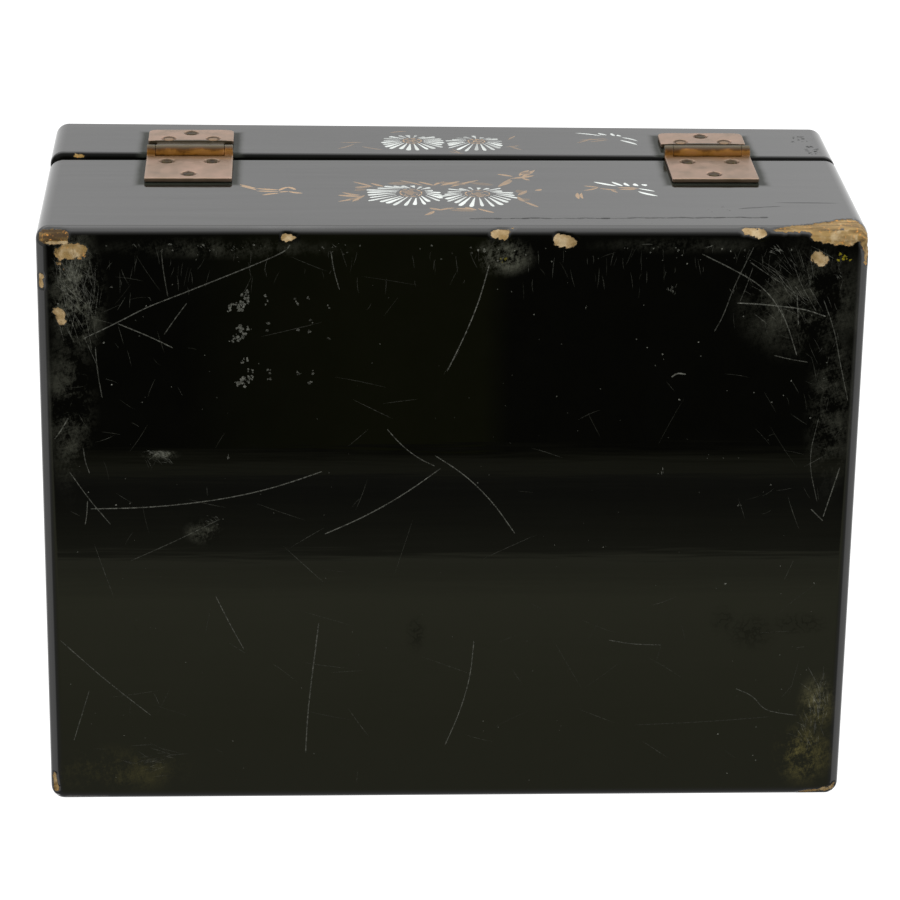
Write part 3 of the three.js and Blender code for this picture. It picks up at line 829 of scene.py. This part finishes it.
def make_lid(lacquer):
    body = Body()
    ring = SIDES.ring
    top = LID_RIM + LID_HEIGHT
    high = [ring(i, EDGE_R - i, z) for i, z in arc(EDGE_R, top - EDGE_R, EDGE_R, 90, 0, 8)]
    wall = [ring(0, EDGE_R, z) for z in (122, 118, 112, 104, 97, 92, 90)]
    rim = [ring(i, EDGE_R - i, z) for i, z in arc(LID_RIM_R, LID_RIM + LID_RIM_R, LID_RIM_R, 0, -90, 6)]
    inner = [ring(i, INNER_R, z) for i, z in
             arc(WALL - INNER_EDGE_R, LID_RIM + INNER_EDGE_R, -INNER_EDGE_R, 90, 180, 3)]
    up = [ring(WALL, INNER_R, z) for z in (100, 110, top - WALL - 1.5)]
    ceiling = [ring(WALL + 0.5, INNER_R - 0.5, top - WALL - 0.5), ring(WALL + 1.5, INNER_R - 1.5, top - WALL)]
    rings = high + wall + rim + inner + up + ceiling
    first, last = len(high) - 1, len(high) + len(wall)
    run = SIDES.back_run()
    body.loft(rings, lambda k, i: first <= k < last and i in run[:-1])
    body.level_panel(rings[0], top_marks())
    body.back_panel(rings[first:last + 1], run, lid_back_marks())
    body.level_panel(rings[-1])
    mesh, flats = finish_body("lacquered_lid", body, LID_CHIPS, lid_warp)
    return plain_object("lacquered_lid", mesh, "lid", "lacquer", ["box_lid"], lacquer), flats


def set_normals(made, flats):
    """Points on flat faces keep the face's own normal, so that the gloss stays level."""
    mesh = made.data
    normals = np.array([v.normal for v in mesh.vertices], float)
    for index, normal in flats.items():
        normals[index] = normal
    mesh.normals_split_custom_set_from_vertices([tuple(n) for n in normals])


# How far above the hinge line the lid leaf's plate ends, where the knuckles end, in from the leaf's ends,
# and by how much the gaps between them are drawn narrow
PLATE_END = 12.1
END_KNUCKLE = 3.0
LID_KNUCKLE_IN = 3.3
SEAM_FILL = 0.13
# How fine the leaves' mesh is, how often their edges are smoothed, and how deep they are dented
LEAF_GRAIN = 0.24
LEAF_SMOOTHING = 3
LEAF_DENTS = 0.12
# How far above the hinge line the lid leaf's rubbed pair of nails stands, and how far off it may be
RUBBED_NAIL = 15.2
RUBBED_WINDOW = 2.5


# Hinges: the leaves are fine copies of the construction, with worn edges and small dents
def worn_leaf(name, part, body, copper, nails, seams):
    """nails: the middle and radius of each nail's head. seams: where the knuckles end and which way the gap
    is, which is drawn narrow."""
    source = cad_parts[part].data.copy()
    bm = bmesh.new()
    bm.from_mesh(source)
    bmesh.ops.remove_doubles(bm, verts=bm.verts, dist=1e-6)
    bm.to_mesh(source)
    bm.free()
    rough = bpy.data.objects.new(name + "_rough", source)
    bpy.context.scene.collection.objects.link(rough)
    remesh = rough.modifiers.new("remesh", "REMESH")
    remesh.mode = "VOXEL"
    remesh.voxel_size = LEAF_GRAIN * MM
    remesh.adaptivity = 0.0
    mesh = bpy.data.meshes.new_from_object(rough.evaluated_get(bpy.context.evaluated_depsgraph_get()))
    bpy.data.objects.remove(rough)
    mesh.name = name
    mesh.materials.clear()
    count = len(mesh.vertices)
    points = np.zeros(count * 3)
    mesh.vertices.foreach_get("co", points)
    points = points.reshape(-1, 3)
    sharp = points.copy()
    edges = np.zeros(len(mesh.edges) * 2, int)
    mesh.edges.foreach_get("vertices", edges)
    edges = edges.reshape(-1, 2)
    degree = np.bincount(edges.ravel(), minlength=count)[:, None]
    for _ in range(LEAF_SMOOTHING):
        total = np.zeros_like(points)
        np.add.at(total, edges[:, 0], points[edges[:, 1]])
        np.add.at(total, edges[:, 1], points[edges[:, 0]])
        points = 0.4 * points + 0.6 * total / degree
    normals = np.array([v.normal for v in mesh.vertices])
    worn = ((sharp - points) * normals).sum(axis=1) / MM
    height = sharp[:, 2] / MM - AXIS_Z
    for x, way in seams:
        beside = (np.abs(sharp[:, 0] / MM - x) < 0.55) & (np.abs(height) < 2.7)
        points[beside] = sharp[beside]
        points[beside & (np.abs(sharp[:, 0] / MM - x) < 0.12), 0] += way * SEAM_FILL * MM
        worn[beside] = 0
    for i in range(count):
        points[i, 1] -= LEAF_DENTS * MM * (0.5 + 0.5 * noise.noise(Vector(sharp[i]) / (4.5 * MM)))
    low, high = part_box(part)
    points = np.clip(points, [low.x, low.y, low.z], [high.x, high.y, high.z])
    mesh.vertices.foreach_set("co", points.ravel())
    # Painted shade: near black on what faces down, between the barrel and the lid's plate, under the barrel
    # and round the nails
    dirt = np.clip(-1.2 - 3.5 * normals[:, 2], 0, 0.7) * (np.abs(height) > 4)
    if body == "lid":
        bulge = 1.3 * (1 - ((sharp[:, 0] - sharp[:, 0].mean()) / (high.x - low.x) * 2) ** 2)
        dirt[(height > 2.6) & (height < PLATE_END + bulge)] = 0.95
    else:
        dirt = np.maximum(dirt, np.clip(1 - (-height - 2.4) / 9.5, 0, 1) * 0.62 * (height < -2.4))
    for centre, radius in nails:
        across = np.abs(sharp[:, 0] - centre.x) + 0.9 * np.abs(sharp[:, 2] - centre.z)
        rubbed = abs(centre.z / MM - AXIS_Z - RUBBED_NAIL) < RUBBED_WINDOW
        dirt = np.maximum(dirt, (0.3 if rubbed else 0.75) * np.clip(4.5 - 3 * across / (radius * 1.25), 0, 1))
    for key, values in (("worn", worn), ("dirt", dirt)):
        attribute = mesh.attributes.new(key, "FLOAT", "POINT")
        attribute.data.foreach_set("value", values.astype(np.float32))
    for polygon in mesh.polygons:
        polygon.use_smooth = True
    mesh.update()
    return plain_object(name, mesh, body, "copper", [part], copper)


def nail_tree():
    """Nails along -Y, one on each point, which is the middle of its head, each turned and dented in its own
    way."""
    tree = bpy.data.node_groups.new("nails", "GeometryNodeTree")
    tree.interface.new_socket("Geometry", in_out="OUTPUT", socket_type="NodeSocketGeometry")
    for name, kind in (("Places", "Geometry"), ("Head radius", "Float"), ("Head thickness", "Float"),
                       ("Shank radius", "Float"), ("Length", "Float"), ("Wear", "Float"), ("Seed", "Int"),
                       ("Metal", "Material")):
        tree.interface.new_socket(name, in_out="INPUT", socket_type="NodeSocket" + kind)
    given = node(tree, "NodeGroupInput").node.outputs
    head = node(tree, "GeometryNodeMeshCylinder",
                {"Vertices": 24, "Side Segments": 3, "Fill Segments": 4, "Radius": given["Head radius"],
                 "Depth": given["Head thickness"]})
    place = node(tree, "GeometryNodeInputPosition")
    level = node(tree, "SeparateXYZ", [place], 2)
    flat = node(tree, "VectorMath MULTIPLY", [place, (1.0, 1.0, 0.0)])
    away = node(tree, "VectorMath LENGTH", [flat], 1)
    share = node(tree, "Math DIVIDE", [away, given["Head radius"]])
    rounding = node(tree, "Math POWER", [share, 3.0])
    above = node(tree, "Math MULTIPLY_ADD", [given["Head thickness"], 0.5, level])
    fall = node(tree, "Math MULTIPLY", [rounding, above])
    drop = node(tree, "Math MULTIPLY", [fall, -0.35])
    lowered = node(tree, "CombineXYZ", {2: drop})
    domed = node(tree, "GeometryNodeSetPosition", {"Geometry": head, "Offset": lowered})
    half = node(tree, "Math MULTIPLY", [given["Head thickness"], -0.5])
    top = node(tree, "GeometryNodeTransform",
               {"Geometry": domed, "Translation": node(tree, "CombineXYZ", {2: half})})
    depth = node(tree, "Math SUBTRACT", [given["Length"], given["Head thickness"]])
    tip = node(tree, "Math MULTIPLY", [given["Shank radius"], 0.25])
    shank = node(tree, "GeometryNodeMeshCone",
                 {"Vertices": 12, "Radius Top": given["Shank radius"], "Radius Bottom": tip,
                  "Depth": depth})
    down = node(tree, "Math MULTIPLY", [given["Length"], -1.0])
    pin = node(tree, "GeometryNodeTransform",
               {"Geometry": shank, "Translation": node(tree, "CombineXYZ", {2: down})})
    whole = node(tree, "GeometryNodeJoinGeometry", [top])
    tree.links.new(pin, whole.node.inputs[0])
    spin = node(tree, "FunctionNodeRandomValue", {2: 0.0, 3: math.tau, "Seed": given["Seed"]}, 1)
    turn = node(tree, "CombineXYZ", [-math.pi / 2, spin])
    driven = node(tree, "GeometryNodeInstanceOnPoints",
                  {"Points": given["Places"], "Instance": whole, "Rotation": turn})
    real = node(tree, "GeometryNodeRealizeInstances", {"Geometry": driven})
    bumps = node(tree, "TexNoise", {"W": given["Seed"], "Scale": per(1.6)}, noise_dimensions="4D")
    dent = node(tree, "Math MULTIPLY", [bumps, given["Wear"]])
    inward = node(tree, "Math MULTIPLY", [dent, -1.0])
    push = node(tree, "VectorMath SCALE", {0: node(tree, "GeometryNodeInputNormal"), 3: inward})
    worn = node(tree, "GeometryNodeSetPosition", {"Geometry": real, "Offset": push})
    smooth = node(tree, "GeometryNodeSetShadeSmooth", {"Geometry": worn})
    finished = node(tree, "GeometryNodeSetMaterial", {"Geometry": smooth, "Material": given["Metal"]})
    tree.links.new(finished, tree.nodes.new("NodeGroupOutput").inputs[0])
    return tree


# The thickness of a nail's head, the radius of its shank, and how deep the head is dented
NAIL_HEAD = 0.7
NAIL_SHANK = 0.8
NAIL_WEAR = 0.06


def make_nails(tree, body, metal):
    """All the nails that ride on one body, as a plain mesh made by the tree."""
    parts = [f"hinge_{side}_{body}_nail_{i}" for side in ("left", "right") for i in (1, 2, 3)]
    boxes = [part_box(part) for part in parts]
    places = bpy.data.meshes.new(f"{body}_nail_places")
    places.from_pydata([((low.x + high.x) / 2, high.y, (low.z + high.z) / 2) for low, high in boxes], [], [])
    holder = bpy.data.objects.new(f"{body}_nail_places", places)
    bpy.context.scene.collection.objects.link(holder)
    low, high = boxes[0]
    values = {"Head radius": (high.x - low.x) / 2, "Head thickness": NAIL_HEAD * MM,
              "Shank radius": NAIL_SHANK * MM, "Length": high.y - low.y, "Wear": NAIL_WEAR * MM,
              "Seed": SEED + len(body), "Metal": metal}
    modifier = holder.modifiers.new("nails", "NODES")
    modifier.node_group = tree
    for item in tree.interface.items_tree:
        if item.name in values:
            modifier[item.identifier] = values[item.name]
    mesh = bpy.data.meshes.new_from_object(holder.evaluated_get(bpy.context.evaluated_depsgraph_get()))
    holder.modifiers.remove(modifier)
    bpy.data.objects.remove(holder)
    mesh.name = f"{body}_nails"
    return plain_object(f"{body}_nails", mesh, body, "nails", parts)


def make_hinges(copper, nail):
    tree = nail_tree()
    for body in ("base", "lid"):
        make_nails(tree, body, nail)
    for side in ("left", "right"):
        for leaf in ("base", "lid"):
            part = f"hinge_{side}_{leaf}_leaf"
            low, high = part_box(part)
            first, last = low.x / MM, high.x / MM
            if leaf == "base":
                seams = [(first + END_KNUCKLE, 1), (last - END_KNUCKLE, -1)]
            else:
                seams = [(first + LID_KNUCKLE_IN, -1), (last - LID_KNUCKLE_IN, 1)]
            nails = []
            for i in (1, 2, 3):
                low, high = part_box(f"hinge_{side}_{leaf}_nail_{i}")
                nails.append(((low + high) / 2, (high.x - low.x) / 2))
            worn_leaf(f"{side}_{leaf}_leaf", part, leaf, copper, nails, seams)
        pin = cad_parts[f"hinge_{side}_pin"]
        for holder in pin.material_slots:
            holder.material = copper


# Hazy places on the underside: the middle, half its width and height, and how dense it is
HAZES = [
    ((131, 86), (10, 24), 0.85), ((134, 45), (9, 34), 0.35), ((-122, 84), (24, 22), 0.34),
    ((-134, 46), (9, 36), 0.3), ((-131, -92), (11, 13), 1.0), ((-135, -72), (7, 12), 0.9),
    ((-17, 100), (11, 7), 0.9), ((103, 26.5), (7, 1.8), 0.9), ((88, -3), (7, 5), 0.5),
    ((80, 103), (45, 4), 0.2), ((120, -97), (26, 10), 0.25), ((-80, 104), (36, 3), 0.15)]
# Faint dark stains left by damp, in the same way
STAINS = [
    ((-99, -38), (5, 6), 1.0), ((-110, -43), (10, 8), 1.0), ((-127, -40), (12, 5), 1.0),
    ((12, -43), (4, 8), 1.0), ((88, -3), (8, 7), 0.8)]


def patches(tree, place, spots):
    """Soft oval patches on the underside, the strongest at each place."""
    most = None
    flat = node(tree, "VectorMath MULTIPLY", [place, (1.0, 1.0, 0.0)])
    for (x, y), reach, amount in spots:
        offset = (-x / reach[0], -y / reach[1], 0)
        scale = (1 / reach[0] / MM, 1 / reach[1] / MM, 0)
        scaled = node(tree, "VectorMath MULTIPLY_ADD", [flat, scale, offset])
        away = node(tree, "VectorMath LENGTH", [scaled], 1)
        patch = node(tree, "MapRange", [away, 1.2, 0.1, 0.0, amount], interpolation_type="SMOOTHSTEP")
        most = patch if most is None else node(tree, "Math MAXIMUM", [most, patch])
    return most


def hinge_shade(tree, split, broad):
    """Painted shade on the back close round both hinges' leaves, worked out from the leaves' own boxes."""
    low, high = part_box("hinge_left_base_leaf")
    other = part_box("hinge_right_base_leaf")[0]
    lid_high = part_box("hinge_left_lid_leaf")[1]
    half_gap = (other.x - low.x) / 2
    half_width = (high.x - low.x) / 2
    beside = node(tree, "Math SUBTRACT", [split[0], (low.x + other.x) / 2 + half_width])
    mirrored = node(tree, "Math ABSOLUTE", [beside])
    from_hinge = node(tree, "Math SUBTRACT", [mirrored, half_gap])
    dx = node(tree, "Math SUBTRACT", [node(tree, "Math ABSOLUTE", [from_hinge]), half_width])
    upright = node(tree, "Math SUBTRACT", [split[2], (low.z + lid_high.z) / 2])
    dz = node(tree, "Math SUBTRACT", [node(tree, "Math ABSOLUTE", [upright]), (lid_high.z - low.z) / 2])
    away = node(tree, "Math SMOOTH_MAX", [dx, dz, 1.5 * MM])
    wavy = node(tree, "Math MULTIPLY_ADD", [broad, 2.4 * MM, away])
    near = node(tree, "MapRange", [wavy, 6.0 * MM, 2.6 * MM, 0.0, 0.96], interpolation_type="SMOOTHSTEP")
    behind = node(tree, "Math GREATER_THAN", [split[1], (HALF_Y - 0.15) * MM])
    return node(tree, "Math MULTIPLY", [near, behind])


def rim_shade(tree, split):
    """Painted shade on the rounded outer edge of the lid's rim, next to the gap, as a mask that dims its
    reflection.
    """
    near = node(tree, "MapRange", [split[2], (LID_RIM + 3.6) * MM, (LID_RIM + 1.6) * MM, 0.0, 0.93],
                interpolation_type="SMOOTHSTEP")
    above = node(tree, "Math GREATER_THAN", [split[2], (LID_RIM - 0.2) * MM])
    outside = []
    for axis, half in ((0, HALF_X), (1, HALF_Y)):
        reach = node(tree, "Math ABSOLUTE", [split[axis]])
        outside.append(node(tree, "Math GREATER_THAN", [reach, (half - LID_RIM_R) * MM]))
    outer = node(tree, "Math MAXIMUM", [outside[0], outside[1]])
    here = node(tree, "Math MULTIPLY", [above, outer])
    return node(tree, "Math MULTIPLY", [near, here])


# Black lacquer, brushed on wood in thin coats and polished: near black, a clear gloss, fine wear.
# Where it has chipped, the pale ground and the brown wood show. Marks in it come as face attributes.
def make_lacquer():
    made, tree = material("black_lacquer_on_wood")
    place = node(tree, "TexCoord", out=3)
    split = node(tree, "SeparateXYZ", [place]).node.outputs
    chip, pale, mark, strength = [node(tree, "Attribute", out=2, attribute_name=name)
                                  for name in ("chip", "pale", "mark", "strength")]
    fine = node(tree, "TexNoise", {"Vector": place, "Scale": per(1.1), "Detail": 3.0})
    broad = node(tree, "TexNoise", {"Vector": place, "Scale": per(17), "Detail": 5.0, "Roughness": 0.65})
    grain_at = node(tree, "Mapping", {"Vector": place, "Scale": (per(11), per(1.4), per(1.4))})
    grain = node(tree, "TexNoise", {"Vector": grain_at, "Scale": 1.0, "Detail": 4.0})

    # Chips: a ragged edge from the attribute and fine noise
    rag = node(tree, "Math MULTIPLY_ADD", [fine, 0.5, -0.25])
    ragged = node(tree, "Math ADD", [chip, rag])
    bare = node(tree, "MapRange", [ragged, 0.0, 0.12])
    patchy = node(tree, "TexNoise", {"Vector": place, "Scale": per(3.6), "Detail": 6.0})
    ground = node(tree, "ValToRGB", [patchy], stops=[(0.36, "#7e6842"), (0.5, "#99815b"), (0.62, "#aa9674")])
    shade = node(tree, "Math MULTIPLY_ADD", [pale, 0.35, grain])
    wood = node(tree, "ValToRGB", [shade], stops=[(0.3, "#3c2b13"), (0.5, "#6a532a"), (0.7, "#8c7244")])
    orange = node(tree, "MapRange", [fine, 0.6, 0.72])
    warm = node(tree, "Mix", {0: orange, 6: wood, 7: "#b27a38"}, **BLEND)
    under = node(tree, "MapRange", [ragged, 0.02, 0.3])
    paler = node(tree, "Math ADD", [pale, patchy])
    paleness = node(tree, "MapRange", [paler, 0.75, 1.05])
    exposed = node(tree, "Mix", {0: paleness, 6: warm, 7: ground}, **BLEND)
    chipped = node(tree, "Mix", {0: under, 6: "#3a2c18", 7: exposed}, **BLEND)

    # Haze: rubbed and dirty lacquer, made of fine specks and short streaks, drawn coarse enough to show
    hazy = patches(tree, place, HAZES)
    low = node(tree, "Math LESS_THAN", [split[2], 0.8 * MM])
    speck = node(tree, "TexNoise", {"Vector": place, "Scale": per(1.4), "Detail": 8.0, "Roughness": 0.8})
    crossed = speck
    for turn in (0.25, -0.4, 1.15):
        streak_at = node(tree, "Mapping",
                         {"Vector": place, "Rotation": (0, 0, turn), "Scale": (0.9 * MM, 7.7 * MM, 1.0)},
                         vector_type="TEXTURE")
        streak = node(tree, "TexNoise", {"Vector": streak_at, "Scale": 1.0, "Detail": 5.0, "Roughness": 0.7})
        crossed = node(tree, "Math MULTIPLY_ADD", [streak, 0.55, crossed])
    cloudy = node(tree, "Math MULTIPLY_ADD", [broad, 2.0, crossed])
    mottled = node(tree, "MapRange", [cloudy, 2.2, 3.0])
    yellowed = node(tree, "MapRange", [split[1], -40 * MM, -80 * MM])
    haze_tint = node(tree, "Mix", {0: yellowed, 6: "#77786a", 7: "#6e6638"}, **BLEND)
    haze_low = node(tree, "Math MULTIPLY", [hazy, low])
    haze = node(tree, "Math MULTIPLY", [haze_low, mottled])

    # Marks by kind, each a narrow window on the attribute
    masks = {}
    for kind in (WHITE, GOLD, SCRATCH, DARK, YELLOW):
        same = node(tree, "Math COMPARE", [mark, kind, KIND_WINDOW])
        masks[kind] = node(tree, "Math MULTIPLY", [same, strength])
    thin = node(tree, "MapRange", [broad, 0.35, 0.6, 0.6])
    sparse = node(tree, "MapRange", [speck, 0.42, 0.62, 0.1, 0.85])
    broken = node(tree, "Math MULTIPLY", [masks[SCRATCH], sparse])
    gilt = node(tree, "Math MULTIPLY", [masks[GOLD], thin])
    # Painted shade: the lacquer round the hinges is made darker and reflects less
    shade_by_hinge = hinge_shade(tree, split, broad)
    surface = node(tree, "Mix", {0: broad, 6: "#020201", 7: "#060604"}, **BLEND)
    surface = node(tree, "Mix", {0: haze, 6: surface, 7: haze_tint}, **BLEND)
    for mask, tint in ((shade_by_hinge, "#22241f"), (broken, "#92938a"), (masks[DARK], "#020302"),
                       (masks[YELLOW], "#7d7214"), (gilt, "#ae8a5e"), (masks[WHITE], "#c2c7c3")):
        surface = node(tree, "Mix", {0: mask, 6: surface, 7: tint}, **BLEND)
    surface = node(tree, "Mix", {0: bare, 6: surface, 7: chipped}, **BLEND)

    # Gloss: clearest on the underside, and duller in paint, haze and chips. Painted shade round the hinges
    # and along the lid's rim, damp stains and dark marks reflect less, which the lower IOR gives them
    satin = node(tree, "MapRange", [broad, 0.3, 0.7, 0.05, 0.1])
    mirror = node(tree, "MapRange", [low, 0.0, 1.0, 1.0, 0.15])
    gloss = node(tree, "Math MULTIPLY", [satin, mirror])
    painted = node(tree, "Math GREATER_THAN", [mark, 0.3])
    marked = node(tree, "Math MULTIPLY_ADD", [painted, 0.25, gloss])
    hazed = node(tree, "Math MULTIPLY_ADD", [haze, 0.3, marked])
    rough = node(tree, "Mix", {0: bare, 2: hazed, 3: 0.8})
    dirt = node(tree, "Math MAXIMUM", [shade_by_hinge, rim_shade(tree, split)])
    contour = node(tree, "Math COMPARE", [patchy, 0.5, 0.035])
    ringed = node(tree, "Math MULTIPLY_ADD", [contour, broad, 0.25])
    damp = node(tree, "Math MULTIPLY", [patches(tree, place, STAINS), ringed])
    stained = node(tree, "Math MULTIPLY", [damp, low])
    blackened = node(tree, "Math MULTIPLY_ADD", [stained, 0.4, masks[DARK]])
    dull = node(tree, "Math MAXIMUM", [dirt, blackened])
    ior = node(tree, "MapRange", [dull, 0.0, 1.0, 1.5, 1.08])
    # Brush marks, drawn coarser than the brush's hairs so that they show
    brush_at = node(tree, "Mapping", {"Vector": place, "Scale": (per(110), per(6.7), per(6.7))})
    brush = node(tree, "TexNoise", {"Vector": brush_at, "Scale": 1.0, "Detail": 3.0})
    relief = node(tree, "Math MULTIPLY", [bare, grain])
    brushed = node(tree, "MapRange", [low, 0.0, 1.0, 0.09, 0.006])
    wavy = node(tree, "Bump", {"Height": brush, "Strength": brushed, "Distance": 1 * MM})
    bumpy = node(tree, "Bump", {"Height": relief, "Strength": 0.5, "Distance": 0.12 * MM, "Normal": wavy})
    shader = node(tree, "BsdfPrincipled",
                  {"Base Color": surface, "Roughness": rough, "IOR": ior, "Normal": bumpy})
    node(tree, "OutputMaterial", {"Surface": shader})
    return made


# Copper sheet, pressed and nailed: pinkish where it is rubbed, brown to orange tarnish on the barrel with a
# painted highlight band, glints and dark stripe, and near black painted shade on what faces down, between the
# barrel and the lid's leaf, under the barrel and round the nails
def make_copper():
    made, tree = material("tarnished_copper")
    place = node(tree, "TexCoord", out=3)
    split = node(tree, "SeparateXYZ", [place]).node.outputs
    # The leaves' painted shade comes in as a point attribute
    worn, dirt = [node(tree, "Attribute", out=2, attribute_name=name) for name in ("worn", "dirt")]
    cloud = node(tree, "TexNoise", {"Vector": place, "Scale": per(7.7), "Detail": 5.0, "Roughness": 0.6})
    fine = node(tree, "TexNoise", {"Vector": place, "Scale": per(1.1), "Detail": 3.0})
    flat = node(tree, "ValToRGB", [cloud], stops=[(0.3, "#75604c"), (0.5, "#897261"), (0.7, "#957c6d")])
    height = node(tree, "Math SUBTRACT", [split[2], AXIS_Z * MM])
    wander = node(tree, "Math MULTIPLY_ADD", [cloud, 2.2 * MM, height])
    below = node(tree, "MapRange", [wander, -7.95 * MM, 2.55 * MM])
    # Tarnish by height, with a painted highlight band low on the barrel and a painted dark stripe across its
    # middle
    tarnish_and_painted_bands = node(tree, "ValToRGB", [below],
                   stops=[(0.0, "#866c54"), (0.35, "#7c6048"), (0.52, "#745438"), (0.6, "#a07040"),
                          (0.64, "#96682c"), (0.665, "#643f12"), (0.7, "#462d10"), (0.735, "#463012"),
                          (0.76, "#50401c"), (0.79, "#54441c"), (1.0, "#3a2f16")])
    # Painted glints: golden streaks on the lower part of the barrel
    streaks_at = node(tree, "Mapping", {"Vector": place, "Scale": (per(14), per(1.7), per(1.7))})
    streaks = node(tree, "TexNoise", {"Vector": streaks_at, "Scale": 1.0, "Detail": 3.0})
    glint_streaks = node(tree, "MapRange", [streaks, 0.55, 0.78, 0.0, 0.42])
    lower = node(tree, "MapRange", [below, 0.69, 0.65])
    painted_glint = node(tree, "Math MULTIPLY", [glint_streaks, lower])
    tarnish_with_glint = node(tree, "Mix", {0: painted_glint, 6: tarnish_and_painted_bands, 7: "#c08434"}, **BLEND)
    away = node(tree, "Math ABSOLUTE", [height])
    barrel = node(tree, "MapRange", [away, 9 * MM, 6 * MM])
    toned = node(tree, "Mix", {0: barrel, 6: flat, 7: tarnish_with_glint}, **BLEND)

    # Worn edges are bright, hollows are grimy, the top of the barrel's seen side is darker, and the leaves
    # bring painted shade
    rub = node(tree, "Math MULTIPLY_ADD", [barrel, -0.8, 1.0])
    edge = node(tree, "MapRange", [worn, 0.03, 0.12, 0.0, 0.85])
    rubbed = node(tree, "Math MULTIPLY", [edge, rub])
    bright = node(tree, "Mix", {0: rubbed, 6: toned, 7: "#c0aa96"}, **BLEND)
    hollow = node(tree, "MapRange", [worn, -0.015, -0.07])
    # The top of the barrel's seen side is made darker
    upper = node(tree, "MapRange", [below, 0.67, 0.74, 0.0, 0.55])
    darker_top = node(tree, "Math MULTIPLY", [upper, barrel])
    hollows_and_top = node(tree, "Math MAXIMUM", [hollow, darker_top])
    grime_and_shade = node(tree, "Math MAXIMUM", [hollows_and_top, dirt])
    dark = node(tree, "Mix", {0: grime_and_shade, 6: bright, 7: "#2c2618"}, **BLEND)
    rough = node(tree, "MapRange", [cloud, 0.3, 0.7, 0.34, 0.5])
    clean = node(tree, "MapRange", [grime_and_shade, 0.0, 1.0, 1.0, 0.1])
    bare = node(tree, "MapRange", [barrel, 0.0, 1.0, 1.0, 0.45])
    metal = node(tree, "Math MULTIPLY", [clean, bare])
    shine = node(tree, "MapRange", [grime_and_shade, 0.0, 1.0, 0.5, 0.15])
    bump = node(tree, "Bump", {"Height": fine, "Strength": 0.2, "Distance": 0.04 * MM})
    shader = node(tree, "BsdfPrincipled",
                  {"Base Color": dark, "Metallic": metal, "Roughness": rough, "Specular IOR Level": shine,
                   "Normal": bump})
    node(tree, "OutputMaterial", {"Surface": shader})
    return made


# Brass nails gone dark brown, with a little green in patches, and the lid's lower pair rubbed paler
def make_nail_metal():
    made, tree = material("dark_nail_brass")
    place = node(tree, "TexCoord", out=3)
    cloud = node(tree, "TexNoise", {"Vector": place, "Scale": per(2), "Detail": 4.0})
    tone = node(tree, "ValToRGB", [cloud], stops=[(0.35, "#231b10"), (0.55, "#3a2e19"), (0.72, "#4c462b")])
    level = node(tree, "SeparateXYZ", [place], 2)
    pair = node(tree, "Math COMPARE", [level, (AXIS_Z + RUBBED_NAIL) * MM, RUBBED_WINDOW * MM])
    rubbed = node(tree, "Math MULTIPLY", [pair, 0.6])
    tone = node(tree, "Mix", {0: rubbed, 6: tone, 7: "#8f765f"}, **BLEND)
    bump = node(tree, "Bump", {"Height": cloud, "Strength": 0.3, "Distance": 0.08 * MM})
    rough = node(tree, "MapRange", [cloud, 0.0, 1.0, 0.4, 0.65])
    shader = node(tree, "BsdfPrincipled",
                  {"Base Color": tone, "Metallic": 1.0, "Roughness": rough, "Normal": bump})
    node(tree, "OutputMaterial", {"Surface": shader})
    return made


make_camera()
make_world()
for lamp in LAMPS:
    make_light(*lamp)
make_floor()
lacquer_finish = make_lacquer()
for piece, flats in (make_base(lacquer_finish), make_lid(lacquer_finish)):
    set_normals(piece, flats)
make_hinges(make_copper(), make_nail_metal())

view = bpy.context.scene.view_settings
view.view_transform = "Standard"
